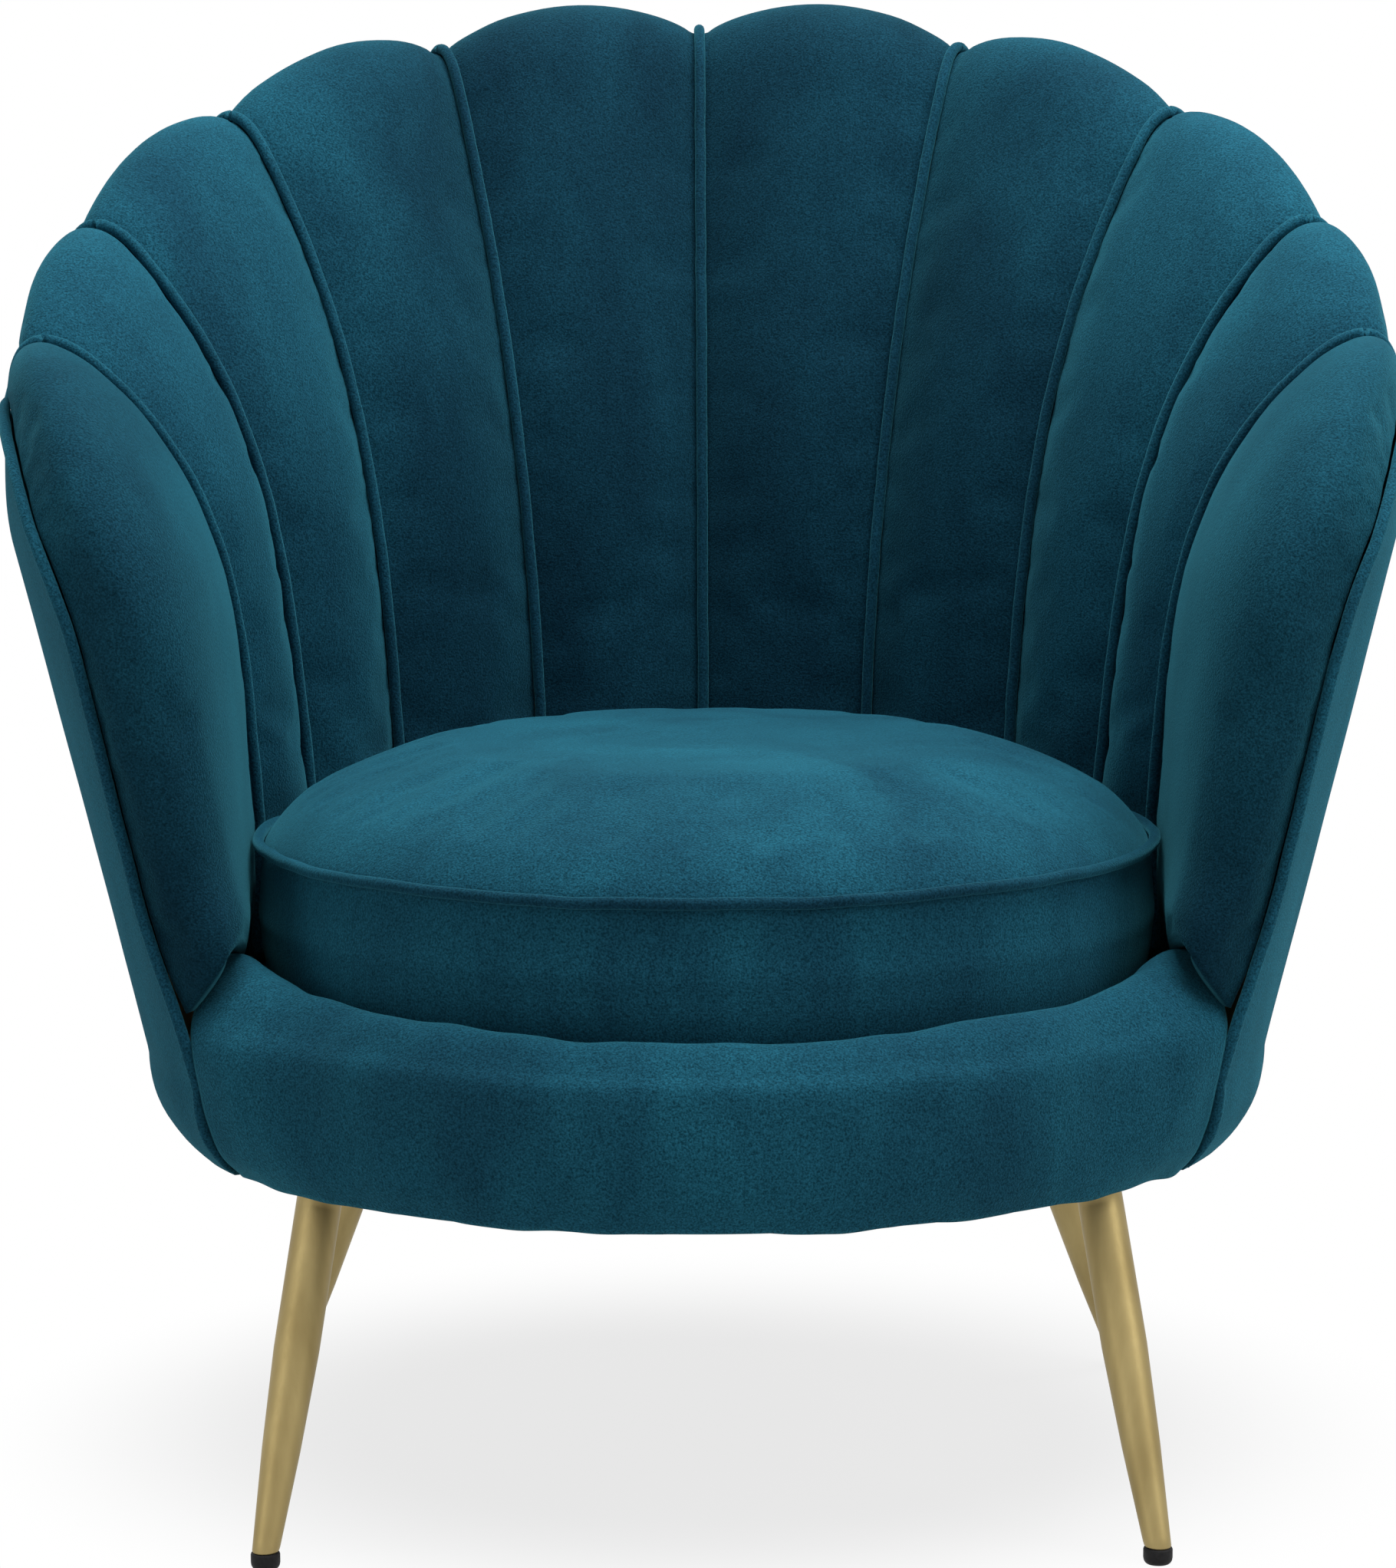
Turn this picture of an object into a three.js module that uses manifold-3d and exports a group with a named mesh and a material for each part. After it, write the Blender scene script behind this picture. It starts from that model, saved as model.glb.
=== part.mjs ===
// Scallop back armchair: a round shell of ten padded channels, a loose round cushion and four splayed legs.
// Millimetres, +Z up, the sitter looks along -Y. The origin is on the floor, under the middle of the chair.
// Inside the chair group the upright axis of the round shell is at x = 0, y = 0, and an angle round that
// axis is measured from the back (+Y) towards the right arm (+X).
import * as THREE from 'three';
import { mergeVertices } from 'three/addons/utils/BufferGeometryUtils.js';
import Module from 'manifold-3d';

const solidLibrary = await Module();
solidLibrary.setup();

const { sin, cos, exp, PI, sqrt, hypot, atan2, abs, max, min } = Math;
const degrees = PI / 180;

// Clearances
const touchGap = 0.3;
const slackGap = 0.5;
const cutOverrun = 4;

// Heights above the floor
const baseBottom = 198;
const dustClothThickness = 1.2;
const boardThickness = 18;
const blockHeight = 31.9;
const strapThickness = 1.5;
const deckThickness = 10;
const pipingHeight = 366.5;
const padFootLift = 16;
const rimBackHeight = 833;
const rimArmHeight = 651.5;

// Shell of padded channels, measured out from the axis
const innerRadius = 273;
const rollWidthBack = 57.6;
const rollWidthArm = 55;
const flareBackPower = 1.87;
const flareArmPower = 3.8;
const edgeRadiusBack = 430;
const edgeRadiusArm = 397;
const rollRiseBack = 29;
const rollRiseArm = 20;
const edgeDropBack = 29;
const edgeDropArm = 33.5;
const rollInBack = 55;
const rollInArm = 50;
const rollOutBack = 33;
const rollOutArm = 38;
const dropPower = 1.1;
const lateDropShare = 0.007;
const lateDropPower = 6;
const seamSeatAngles = [0, 21.7, 43.2, 60.3, 76.7].map((angle) => angle * degrees);
const seamRimAngles = [0, 24.5, 48.6, 71.6, 90].map((angle) => angle * degrees);
const padThickness = 14;
const crownAtSeat = 10;
const crownAtMiddleBack = 17;
const crownAtMiddleArm = 10;
const crownAtRimBack = 18;
const crownAtRimArm = 12;
const crownAtEdge = 3;
const crownFlatPower = 2.4;
const weltRadius = 3.4;
const rimSeamShare = 1.3;
const innerFaceShare = 0.72;

// Front edge of the arms, where the channels meet the outer cover
const frontEdgeAngle = 116 * degrees;
const frontFootTurn = 3.5 * degrees;
const frontFootTurnLow = 250;
const frontFootTurnHigh = 360;
const frontEdgeRise = 138;
const frontSeamShare = 1.15;
const noseFootLift = 21.5;
const noseLift = 43;
const noseReachShare = 0.54;
const noseReturnShare = 0.43;
const noseTopShare = 0.975;
const noseLiftPower = 4;
const noseSkewPower = 1.7;
const inwardAtSeamShare = 0.24;
const inwardAtEdgeShare = 0.35;

// Outer cover, a cone that rounds under at the bottom and straightens at the top
const coverThickness = 3.5;
const coverOverhang = 1;
const coverFootGap = 5;
const coneBottomDrop = 1;
const coneBottomReach = 23.2;
const coneTopDrop = 78;
const coneTopInsetBack = 39;
const coneTopInsetArm = 4;

// Front band of the base
const bandFootGap = 2;
const bandBulge = 13;
const bandRiseFront = 26;
const bandRiseArm = 10;
const bandRiseEnd = 14;
const bandInnerStartAngle = 115.2 * degrees;
const bandCushionGap = 2.2;
const bandEndSeamShare = 1.3;

// Loose cushion
const cushionSideGap = 18;
const cushionBulge = 2.5;
const cushionTuck = 2;
const cushionFootInset = 23;
const cushionCrown = 54;
const crownPower = 7;
const coverSkin = 1.6;
const zipLength = 150;
const zipWidth = 4;
const zipCutDepth = 40;

// Frame
const lowerRingReach = 22;
const lowerRingWidth = 80;
const seatRingWidth = 82;
const linerThickness = 4;
const linerGap = 0.8;
const linerSlack = 2;
const postTopGap = 2.5;
const postWidth = 40;
const postDepth = 20;
const armPostWidth = 34;
const armPostDepth = 20;
const armPostAngle = 104 * degrees;
const armPostGap = 1.9;
const armPostPlaceShare = 0.583;
const armPostDrop = 63;
const railWidth = 18;
const railHeight = 20;
const railPlaceShare = 0.56;
const railDropBack = 8;
const railDropArm = 15;
const midRailDrop = 67.5;
const midRailDepth = 12;
const midRailWidth = 40;
const midRailLetIn = 3;
const railEndAngle = 87 * degrees;
const midRailEndAngle = 81 * degrees;
const blockLength = 54;
const blockWidth = 60;
const blockInset = 4;
const strapWidth = 50;
const strapInset = 4;
const strapSpacing = 110;
const deckInset = 16;

// Legs
const legRadius = 12.5;
const legFootRadius = 7.3;
const legTaperLength = 110;
const taperMiddleShare = 0.62;
const legWall = 1.5;
const legPlateRadius = 20;
const legPlateThickness = 4;
const boltRadius = 4;
const boltHeadRadius = 6.5;
const boltHeadHeight = 5;
const boltLength = 46;
const boltClearance = 0.3;
const glideHeight = 9;
const glideRadius = 8;
const glideFaceRadius = 6.2;
const glideFaceHeight = 3;
const glideStemLength = 16;
const frontLegTop = { x: 213, y: -165 };
const frontLegFoot = { x: 241.5, y: -235 };
const rearLegTop = { x: 196, y: 150 };
const rearLegFoot = { x: 259, y: 186 };

// Worked out from the sizes above
const dustClothTop = baseBottom + dustClothThickness;
const lowerRingBottom = dustClothTop + touchGap;
const lowerRingTop = lowerRingBottom + boardThickness;
const seatRingBottom = lowerRingTop + blockHeight + 2 * touchGap;
const seatRingTop = seatRingBottom + boardThickness;
const padFoot = seatRingTop + padFootLift;
const noseFoot = seatRingTop + noseFootLift;
const seatRingRadius = innerRadius + padThickness;
const lowerRingRadius = innerRadius + lowerRingReach;
const dustClothRadius = lowerRingRadius - slackGap;
const deckRadius = innerRadius - deckInset;
const strapReach = deckRadius - strapInset;
const flareBack = edgeRadiusBack - innerRadius - rollWidthBack;
const flareArm = edgeRadiusArm - innerRadius - rollWidthArm;
const rimDrop = rimBackHeight - rimArmHeight;
const armEdgeHeight = rimArmHeight - edgeDropArm;
const frontEdgeTop = armEdgeHeight - frontEdgeRise;
const coverBottom = baseBottom - coverOverhang;
const coverBottomRadius = lowerRingRadius + coverFootGap;
const coneBottom = seatRingBottom - coneBottomDrop;
const coneBottomRadius = coverBottomRadius + coneBottomReach;
const coneTop = armEdgeHeight - coneTopDrop;
const coneTopRadiusBack = edgeRadiusBack - coneTopInsetBack;
const coneTopRadiusArm = edgeRadiusArm - coneTopInsetArm;
const bandBottomRadius = lowerRingRadius + bandFootGap;
const bandBulgeRadius = lowerRingRadius + bandBulge;
const bandTopFront = seatRingTop + bandRiseFront;
const cushionRadius = innerRadius - cushionSideGap;
const cushionBottomRadius = cushionRadius - cushionFootInset;
const bandInnerRadius = cushionRadius + 2 * weltRadius + bandCushionGap;
const lowerStrapBottom = seatRingTop + touchGap;
const upperStrapBottom = lowerStrapBottom + strapThickness + touchGap;
const deckBottom = upperStrapBottom + strapThickness + touchGap;
const cushionBottom = deckBottom + deckThickness + touchGap;
const lowerWeltHeight = cushionBottom + 2 * cushionTuck;
const seamOffset = weltRadius + slackGap;
const rimSeamOffset = seamOffset * rimSeamShare;
const plateTop = baseBottom - touchGap;
const plateBottom = plateTop - legPlateThickness;
const backReach = edgeRadiusBack + weltRadius;
const sides = [['left', -1], ['right', 1]];

// Materials
const cloth = (name, color, roughness) => {
  return new THREE.MeshStandardMaterial({ name, color, roughness, metalness: 0 });
};
const metal = (name, color, roughness) => {
  return new THREE.MeshStandardMaterial({ name, color, roughness, metalness: 1 });
};
const velvet = cloth('teal_velvet', 0x17455a, 0.85);
const velvetLight = cloth('teal_velvet_top', 0x25687a, 0.85);
const pipingVelvet = cloth('teal_piping', 0x153f52, 0.85);
const foam = cloth('foam', 0xe8dfc6, 0.95);
const wadding = cloth('deck_lining', 0x20242a, 0.95);
const webbing = cloth('webbing', 0x2b2b2b, 0.9);
const dustCloth = cloth('dust_cloth', 0x141414, 0.95);
const plywood = cloth('plywood', 0xc9a878, 0.7);
const hardwood = cloth('hardwood', 0xb8935f, 0.7);
const fibreboard = cloth('fibreboard', 0x8a6a45, 0.8);
const rubber = cloth('black_rubber', 0x111111, 0.7);
const brass = metal('brushed_brass', 0x9a8550, 0.35);
const steel = metal('zinc_steel', 0x9a9a98, 0.4);

const chair = new THREE.Group();
chair.position.y = (bandBulgeRadius - backReach) / 2;

function add(name, geometry, material) {
  const mesh = new THREE.Mesh(geometry, material);
  mesh.name = name;
  chair.add(mesh);
  return mesh;
}

// Points and small sums
const around = (angle, radius, z) => new THREE.Vector3(radius * sin(angle), radius * cos(angle), z);
const outward = (angle) => new THREE.Vector3(sin(angle), cos(angle), 0);
const forward = (angle) => new THREE.Vector3(cos(angle), -sin(angle), 0);
const lerp = THREE.MathUtils.lerp;
const armShare = (angle) => sin(angle) ** 2;
const mix = (back, arm, angle) => lerp(back, arm, armShare(angle));
const steps = (count) => Array.from({ length: count + 1 }, (_, index) => index / count);
const mirrored = (points) => points.map((point) => new THREE.Vector3(-point.x, point.y, point.z));

// A closed solid through rings of the same number of points, capped at both ends. Where a ring starts with
// frontCount points of a front face and goes on with a back face, a strip between them is the cap.
function loft(rings, frontCount = 0) {
  const count = rings[0].length;
  const positions = rings.flat().flatMap((point) => [point.x, point.y, point.z]);
  const faces = [];
  for (let i = 0; i < rings.length - 1; i += 1) {
    for (let j = 0; j < count; j += 1) {
      const [a, b] = [i * count + j, i * count + (j + 1) % count];
      faces.push([a, b, b + count], [a, b + count, a + count]);
    }
  }
  const ends = [[rings[0], 0, true], [rings.at(-1), (rings.length - 1) * count, false]];
  for (const [ring, base, flip] of ends) {
    for (const face of frontCount ? stripFaces(frontCount, count) : capFaces(ring)) {
      const [a, b, c] = face.map((index) => index + base);
      faces.push(flip ? [a, c, b] : [a, b, c]);
    }
  }
  let volume = 0;
  for (const face of faces) {
    const [a, b, c] = face.map((index) => rings[Math.floor(index / count)][index % count]);
    volume += a.dot(b.clone().cross(c));
  }
  const order = volume > 0 ? faces : faces.map(([a, b, c]) => [a, c, b]);
  const geometry = new THREE.BufferGeometry();
  geometry.setAttribute('position', new THREE.Float32BufferAttribute(positions, 3));
  geometry.setIndex(order.flat());
  return geometry;
}

// Triangles between the front and the back points of a ring, each turning the same way as the ring
function stripFaces(frontCount, count) {
  const faces = [];
  let [front, back] = [0, count - 1];
  while (front < frontCount - 1 || back > frontCount) {
    const frontDone = front / (frontCount - 1);
    const backDone = (count - 1 - back) / (count - 1 - frontCount);
    if (frontDone <= backDone && front < frontCount - 1) {
      faces.push([front, front + 1, back]);
      front += 1;
    } else {
      faces.push([front, back - 1, back]);
      back -= 1;
    }
  }
  return faces;
}

// Triangles that fill one ring, each turning the same way as the ring
function capFaces(ring) {
  const normal = new THREE.Vector3();
  ring.forEach((point, index) => normal.add(point.clone().cross(ring[(index + 1) % ring.length])));
  const centre = ring.reduce((sum, point) => sum.add(point), new THREE.Vector3()).divideScalar(ring.length);
  normal.normalize();
  const along = ring[0].clone().sub(centre);
  along.addScaledVector(normal, -along.dot(normal)).normalize();
  const across = normal.clone().cross(along);
  const flat = ring.map((point) => {
    const offset = point.clone().sub(centre);
    return new THREE.Vector2(offset.dot(along), offset.dot(across));
  });
  return THREE.ShapeUtils.triangulateShape(flat, []).map(([a, b, c]) => {
    const turn = flat[b].clone().sub(flat[a]).cross(flat[c].clone().sub(flat[a]));
    return turn > 0 ? [a, b, c] : [a, c, b];
  });
}

// A round cord along a row of points
const cordSides = 5;

function cordAlong(points, radius) {
  const rings = points.map((point, index) => {
    const next = points[min(index + 1, points.length - 1)];
    const ahead = next.clone().sub(points[max(index - 1, 0)]).normalize();
    const out = outward(atan2(point.x, point.y));
    const first = out.addScaledVector(ahead, -out.dot(ahead)).normalize();
    const second = ahead.clone().cross(first);
    return steps(cordSides).slice(1).map((share) => point.clone()
      .addScaledVector(first, radius * cos(2 * PI * share))
      .addScaledVector(second, radius * sin(2 * PI * share)));
  });
  return loft(rings);
}

// Solids that are cut or joined
function toSolid(geometry) {
  const bare = geometry.clone();
  bare.deleteAttribute('normal');
  bare.deleteAttribute('uv');
  const merged = mergeVertices(bare);
  const vertProperties = new Float32Array(merged.attributes.position.array);
  const triVerts = new Uint32Array(merged.index.array);
  return new solidLibrary.Manifold(new solidLibrary.Mesh({ numProp: 3, vertProperties, triVerts }));
}

function toGeometry(solid) {
  const mesh = solid.getMesh();
  const geometry = new THREE.BufferGeometry();
  geometry.setAttribute('position', new THREE.BufferAttribute(new Float32Array(mesh.vertProperties), 3));
  geometry.setIndex(new THREE.BufferAttribute(new Uint32Array(mesh.triVerts), 1));
  return geometry;
}

function cut(geometry, ...tools) {
  return toGeometry(tools.reduce((body, tool) => body.subtract(toSolid(tool)), toSolid(geometry)));
}

// An upright cylinder, cone or disc from one height to another
function upright(bottomRadius, topRadius, bottom, top, x = 0, y = 0, segments = 16) {
  const geometry = new THREE.CylinderGeometry(topRadius, bottomRadius, top - bottom, segments);
  geometry.rotateX(PI / 2);
  geometry.translate(x, y, (top + bottom) / 2);
  return geometry;
}

// Height of the rim valleys round the shell
function rimHeight(angle) {
  const turn = 1 - cos(angle);
  const share = (1 - lateDropShare) * turn ** dropPower + lateDropShare * turn ** lateDropPower;
  return rimBackHeight - rimDrop * share;
}

// One meridian of the shell in its own upright plane: up the inner face as far as innerFaceShare, and from
// there over the rim to the outer edge
function meridian(seatAngle, rimAngle) {
  const top = rimHeight(rimAngle);
  const rollStart = top - mix(rollRiseBack, rollRiseArm, rimAngle);
  const flare = mix(flareBack, flareArm, rimAngle);
  const power = mix(flareBackPower, flareArmPower, rimAngle);
  const edgeRadius = mix(edgeRadiusBack, edgeRadiusArm, rimAngle);
  const edgeHeight = top - mix(edgeDropBack, edgeDropArm, rimAngle);
  const coneRadius = mix(coneTopRadiusBack, coneTopRadiusArm, rimAngle);
  const startRadius = innerRadius + flare;
  const lean = flare * power / (rollStart - pipingHeight);
  const rollIn = mix(rollInBack, rollInArm, rimAngle) / hypot(lean, 1);
  const roll = new THREE.CubicBezierCurve(
    new THREE.Vector2(startRadius, rollStart),
    new THREE.Vector2(startRadius + lean * rollIn, rollStart + rollIn),
    new THREE.Vector2(edgeRadius, edgeHeight + mix(rollOutBack, rollOutArm, rimAngle)),
    new THREE.Vector2(edgeRadius, edgeHeight + rimSeamOffset),
  );
  const rolled = (share) => min(1, (share - innerFaceShare) / (1 - innerFaceShare));
  const heightAt = (share) => lerp(padFoot, rollStart, min(1, share / innerFaceShare));
  const climbAt = (share) => max(0, (heightAt(share) - pipingHeight) / (rollStart - pipingHeight));
  const plain = (share) => {
    if (share >= innerFaceShare) return roll.getPoint(rolled(share));
    return new THREE.Vector2(innerRadius + flare * climbAt(share) ** power, heightAt(share));
  };
  const slopeAt = (share) => {
    if (share >= innerFaceShare) return roll.getTangent(rolled(share));
    return new THREE.Vector2(lean * climbAt(share) ** (power - 1), 1).normalize();
  };
  const angleAt = (share) => lerp(seatAngle, rimAngle, climbAt(share));
  return { plain, slopeAt, angleAt, rimAngle, edgeRadius, edgeHeight, coneRadius, rollStart, startRadius };
}

// A point of the shell, moved out of the padding by lift
function shellPoint(line, share, lift = 0) {
  const flat = line.plain(share);
  const slope = line.slopeAt(share);
  return around(line.angleAt(share), flat.x - slope.y * lift, flat.y + slope.x * lift);
}

// How far the padding stands proud in the middle of a channel
const crownStopShares = [0, 0.2, 0.45, 0.66, 0.84, 0.95, 1];

function crownHeight(share, rimAngle) {
  const middle = mix(crownAtMiddleBack, crownAtMiddleArm, rimAngle);
  const rim = mix(crownAtRimBack, crownAtRimArm, rimAngle);
  const heights = [crownAtSeat, crownAtSeat, middle, middle, rim, crownAtEdge, crownAtEdge];
  const index = max(1, crownStopShares.findIndex((stop) => stop >= share));
  const blend = THREE.MathUtils.smoothstep(share, crownStopShares[index - 1], crownStopShares[index]);
  return lerp(heights[index - 1], heights[index], blend);
}

const channelShape = (across) => 1 - abs(2 * across - 1) ** crownFlatPower;
const innerFaceShares = [0, 0.16, 0.3, 0.42, 0.53, 0.63, innerFaceShare];
const frontShares = [...innerFaceShares, 0.785, 0.84, 0.88, 0.92, 0.96, 1];
const acrossShares = [0, 0.08, 0.22, 0.4, 0.6, 0.78, 0.92, 1];
const backAcrossShares = [1, 0.75, 0.5, 0.25, 0];

// One of the four full channels of a side, as rings from its foot to the outer edge
function channelPad(number) {
  const seatInset = seamOffset / innerRadius;
  const rimInset = seamOffset / (innerRadius + flareArm);
  const lineAt = (across) => meridian(
    lerp(seamSeatAngles[number - 1] + seatInset, seamSeatAngles[number] - seatInset, across),
    lerp(seamRimAngles[number - 1] + rimInset, seamRimAngles[number] - rimInset, across),
  );
  const frontLines = acrossShares.map(lineAt);
  const backLines = backAcrossShares.map(lineAt);
  return frontShares.map((share) => {
    const front = acrossShares.map((across, index) => {
      const line = frontLines[index];
      const lift = crownHeight(share, line.rimAngle) * channelShape(across);
      return shellPoint(line, share, lift);
    });
    const back = backLines.map((line) => shellPoint(line, share, -padThickness));
    return [...front, ...back];
  });
}

// Radius of the outer cover at a height, below the edge of a meridian
function coverRadius(z, { edgeRadius, edgeHeight, coneRadius }) {
  if (z < coneBottom) {
    const climb = (z - coverBottom) / (coneBottom - coverBottom);
    return lerp(coverBottomRadius, coneBottomRadius, 1 - (1 - climb) ** 2 * (1 - climb / 2));
  }
  if (z < coneTop) return lerp(coneBottomRadius, coneRadius, (z - coneBottom) / (coneTop - coneBottom));
  const climb = (z - coneTop) / (edgeHeight - coneTop);
  const straight = lerp(coneRadius, edgeRadius, climb);
  const coneLean = (coneRadius - coneBottomRadius) / (coneTop - coneBottom);
  const chordLean = (edgeRadius - coneRadius) / (edgeHeight - coneTop);
  return straight + (coneLean - chordLean) * (edgeHeight - coneTop) * climb * (1 - climb) ** 2;
}

// The front edge of an arm: level at the rim, rounding over to run straight down
const armLine = meridian(seamSeatAngles[4], seamRimAngles[4]);
const frontEdgeSweep = frontEdgeAngle - seamRimAngles[4];
const armCoverRadius = (z) => coverRadius(z, armLine);

// Near its foot the front edge turns further to the front
function footTurn(z) {
  return frontFootTurn * (1 - THREE.MathUtils.smoothstep(z, frontFootTurnLow, frontFootTurnHigh));
}

function frontEdgePoint(turn, offset, z = frontEdgeTop) {
  const height = turn < PI / 2 ? frontEdgeTop + (frontEdgeRise + offset) * cos(turn) : z;
  const radius = armCoverRadius(min(height, armLine.edgeHeight));
  const angle = seamRimAngles[4] + (frontEdgeSweep + footTurn(height) + offset / radius) * sin(turn);
  return around(angle, radius, height);
}

// The arm's front channel wraps from the last seam round the nose of the arm to the front edge
const noseStart = rimSeamOffset / (innerRadius + flareArm);
const noseLine = { ...armLine, angleAt: (share) => armLine.angleAt(share) + noseStart };
const straightLength = frontEdgeTop - noseFoot;
const curvedLength = (frontEdgeRise + frontEdgeSweep * armLine.edgeRadius) * PI / 4;
const straightShare = straightLength / (straightLength + curvedLength);

function noseEdge(share) {
  if (share < straightShare) {
    const z = lerp(noseFoot, frontEdgeTop, share / straightShare);
    return { point: frontEdgePoint(PI / 2, rimSeamOffset, z), turn: PI / 2 };
  }
  const turn = PI / 2 * (1 - share) / (1 - straightShare);
  return { point: frontEdgePoint(turn, rimSeamOffset), turn };
}

function nosePoint(across, share) {
  const start = shellPoint(noseLine, share);
  const startAngle = armLine.angleAt(share);
  const slope = armLine.slopeAt(share);
  const lift = outward(startAngle).multiplyScalar(-slope.y).setZ(slope.x);
  const startWay = forward(startAngle).addScaledVector(lift, inwardAtSeamShare).normalize();
  const { point: end, turn } = noseEdge(share);
  const endAngle = atan2(end.x, end.y);
  const endWay = forward(endAngle).multiplyScalar(sin(turn)).setZ(cos(turn));
  endWay.addScaledVector(outward(endAngle), -inwardAtEdgeShare * sin(turn)).normalize();
  const chord = start.distanceTo(end);
  const curve = new THREE.CubicBezierCurve3(
    start,
    start.clone().addScaledVector(startWay, chord * noseReachShare),
    end.clone().addScaledVector(endWay, chord * noseReturnShare),
    end,
  );
  const point = curve.getPoint(across);
  point.z += noseLift * sin(PI * across ** noseSkewPower) * (1 - share) ** noseLiftPower;
  return point;
}

const normalStepShare = 0.02;

function noseNormal(across, share) {
  const [left, right] = [max(0, across - normalStepShare), min(1, across + normalStepShare)];
  const [low, high] = [max(0, share - normalStepShare), min(1 - normalStepShare, share + normalStepShare)];
  const sideways = nosePoint(right, share).sub(nosePoint(left, share));
  const upwards = nosePoint(across, high).sub(nosePoint(across, low));
  return sideways.cross(upwards).normalize();
}

const noseAcrossShares = [0, 0.1, 0.25, 0.4, 0.52, 0.64, 0.75, 0.85, 0.93, 1];
const noseBackShares = [1, 0.88, 0.76, 0.64, 0.5, 0.32, 0.16, 0];

function nosePad() {
  return frontShares.map((whole) => {
    const share = whole * noseTopShare;
    const front = noseAcrossShares.map((across) => nosePoint(across, share));
    const back = noseBackShares.map((across) => {
      return nosePoint(across, share).addScaledVector(noseNormal(across, share), -padThickness);
    });
    return [...front, ...back];
  });
}

// Channels and the seam cords between them
const pads = [1, 2, 3, 4].map((number) => ({ rings: channelPad(number), frontCount: acrossShares.length }));
pads.push({ rings: nosePad(), frontCount: noseAcrossShares.length });
for (const [sideName, side] of sides) {
  pads.forEach(({ rings, frontCount }, index) => {
    const placed = side < 0 ? rings.map(mirrored) : rings;
    add(`channel_pad_${sideName}_${index + 1}`, loft(placed, frontCount), velvet);
  });
}

const seamEndShare = 0.985;
const seamShares = frontShares.map((share) => min(share, seamEndShare));
seamSeatAngles.forEach((seatAngle, index) => {
  const line = meridian(seatAngle, seamRimAngles[index]);
  const points = seamShares.map((share) => shellPoint(line, share, -weltRadius / 2));
  if (index === 0) {
    add('seam_welt_centre', cordAlong(points, weltRadius), pipingVelvet);
    return;
  }
  for (const [sideName, side] of sides) {
    const placed = side < 0 ? mirrored(points) : points;
    add(`seam_welt_${sideName}_${index}`, cordAlong(placed, weltRadius), pipingVelvet);
  }
});

// The long cord round the rim and down both arm fronts
function rimEdgePoint(angle) {
  const line = meridian(angle, angle);
  return around(angle, line.edgeRadius, line.edgeHeight);
}

const edgeFootShares = [0, 0.09, 0.16, 0.3, 0.45, 0.6, 0.76, 1];
const rightEdge = [
  ...edgeFootShares.map((share) => frontEdgePoint(PI / 2, 0, lerp(coverBottom, frontEdgeTop, share))),
  ...steps(8).slice(1).map((share) => frontEdgePoint(PI / 2 * (1 - share), 0)),
  ...steps(18).slice(1).map((share) => rimEdgePoint(seamRimAngles[4] * (1 - share))),
];
const wholeEdge = [...rightEdge, ...mirrored(rightEdge).reverse().slice(1)];
add('edge_welt', cordAlong(wholeEdge, weltRadius), pipingVelvet);

// The outer cover, from one arm front round the back to the other
const coverOuterShares = [0, 0.04, 0.09, 0.16, 0.3, 0.45, 0.6, 0.76, 0.9, 1];
const coverInnerShares = [1, 0.9, 0.76, 0.6, 0.45, 0.3, 0.16, 0.04, 0];

function coverRing(angle, topHeight, line) {
  const turnShare = max(0, angle - seamRimAngles[4]) / frontEdgeSweep;
  const point = (share, inset) => {
    const z = lerp(coverBottom, topHeight, share);
    return around(angle + footTurn(z) * turnShare, coverRadius(z, line) - inset, z);
  };
  const outer = coverOuterShares.map((share) => point(share, 0));
  const inner = coverInnerShares.map((share) => point(share, coverThickness));
  return [...outer, ...inner];
}

const frontTurnShares = [1, 0.86, 0.7, 0.52, 0.34, 0.16];
const halfCover = [
  ...frontTurnShares.map((share) => {
    const edge = frontEdgePoint(share * PI / 2, -seamOffset * frontSeamShare);
    return coverRing(atan2(edge.x, edge.y), edge.z, armLine);
  }),
  ...steps(12).map((share) => {
    const angle = seamRimAngles[4] * (1 - share);
    const line = meridian(angle, angle);
    return coverRing(angle, line.edgeHeight - rimSeamOffset, line);
  }),
];
const coverRings = [...halfCover, ...halfCover.map(mirrored).reverse().slice(1)];
add('outer_cover', loft(coverRings, coverOuterShares.length), velvet);

// Front band of the base, padded, with a rolled top that holds the cushion in. Its section is given as
// pairs of shares, out and up for the lower part, in and up for the roll. Its ends spread to the cover, and
// the inner part of the roll runs on under the noses of the arms.
const bandLowerShares = [[0, 0], [0.65, 0.3], [1, 0.75]];
const bandRollShares = [[0.03, 0.1], [0.2, 0.5], [0.42, 0.87], [0.64, 1], [0.86, 0.86], [1, 0.5]];
const bandSpreadShare = 0.3;
const bandFadeShare = 0.17;
const bandInnerShare = 0.45;
const bandEndGap = seamOffset * bandEndSeamShare / coverBottomRadius;

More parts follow.
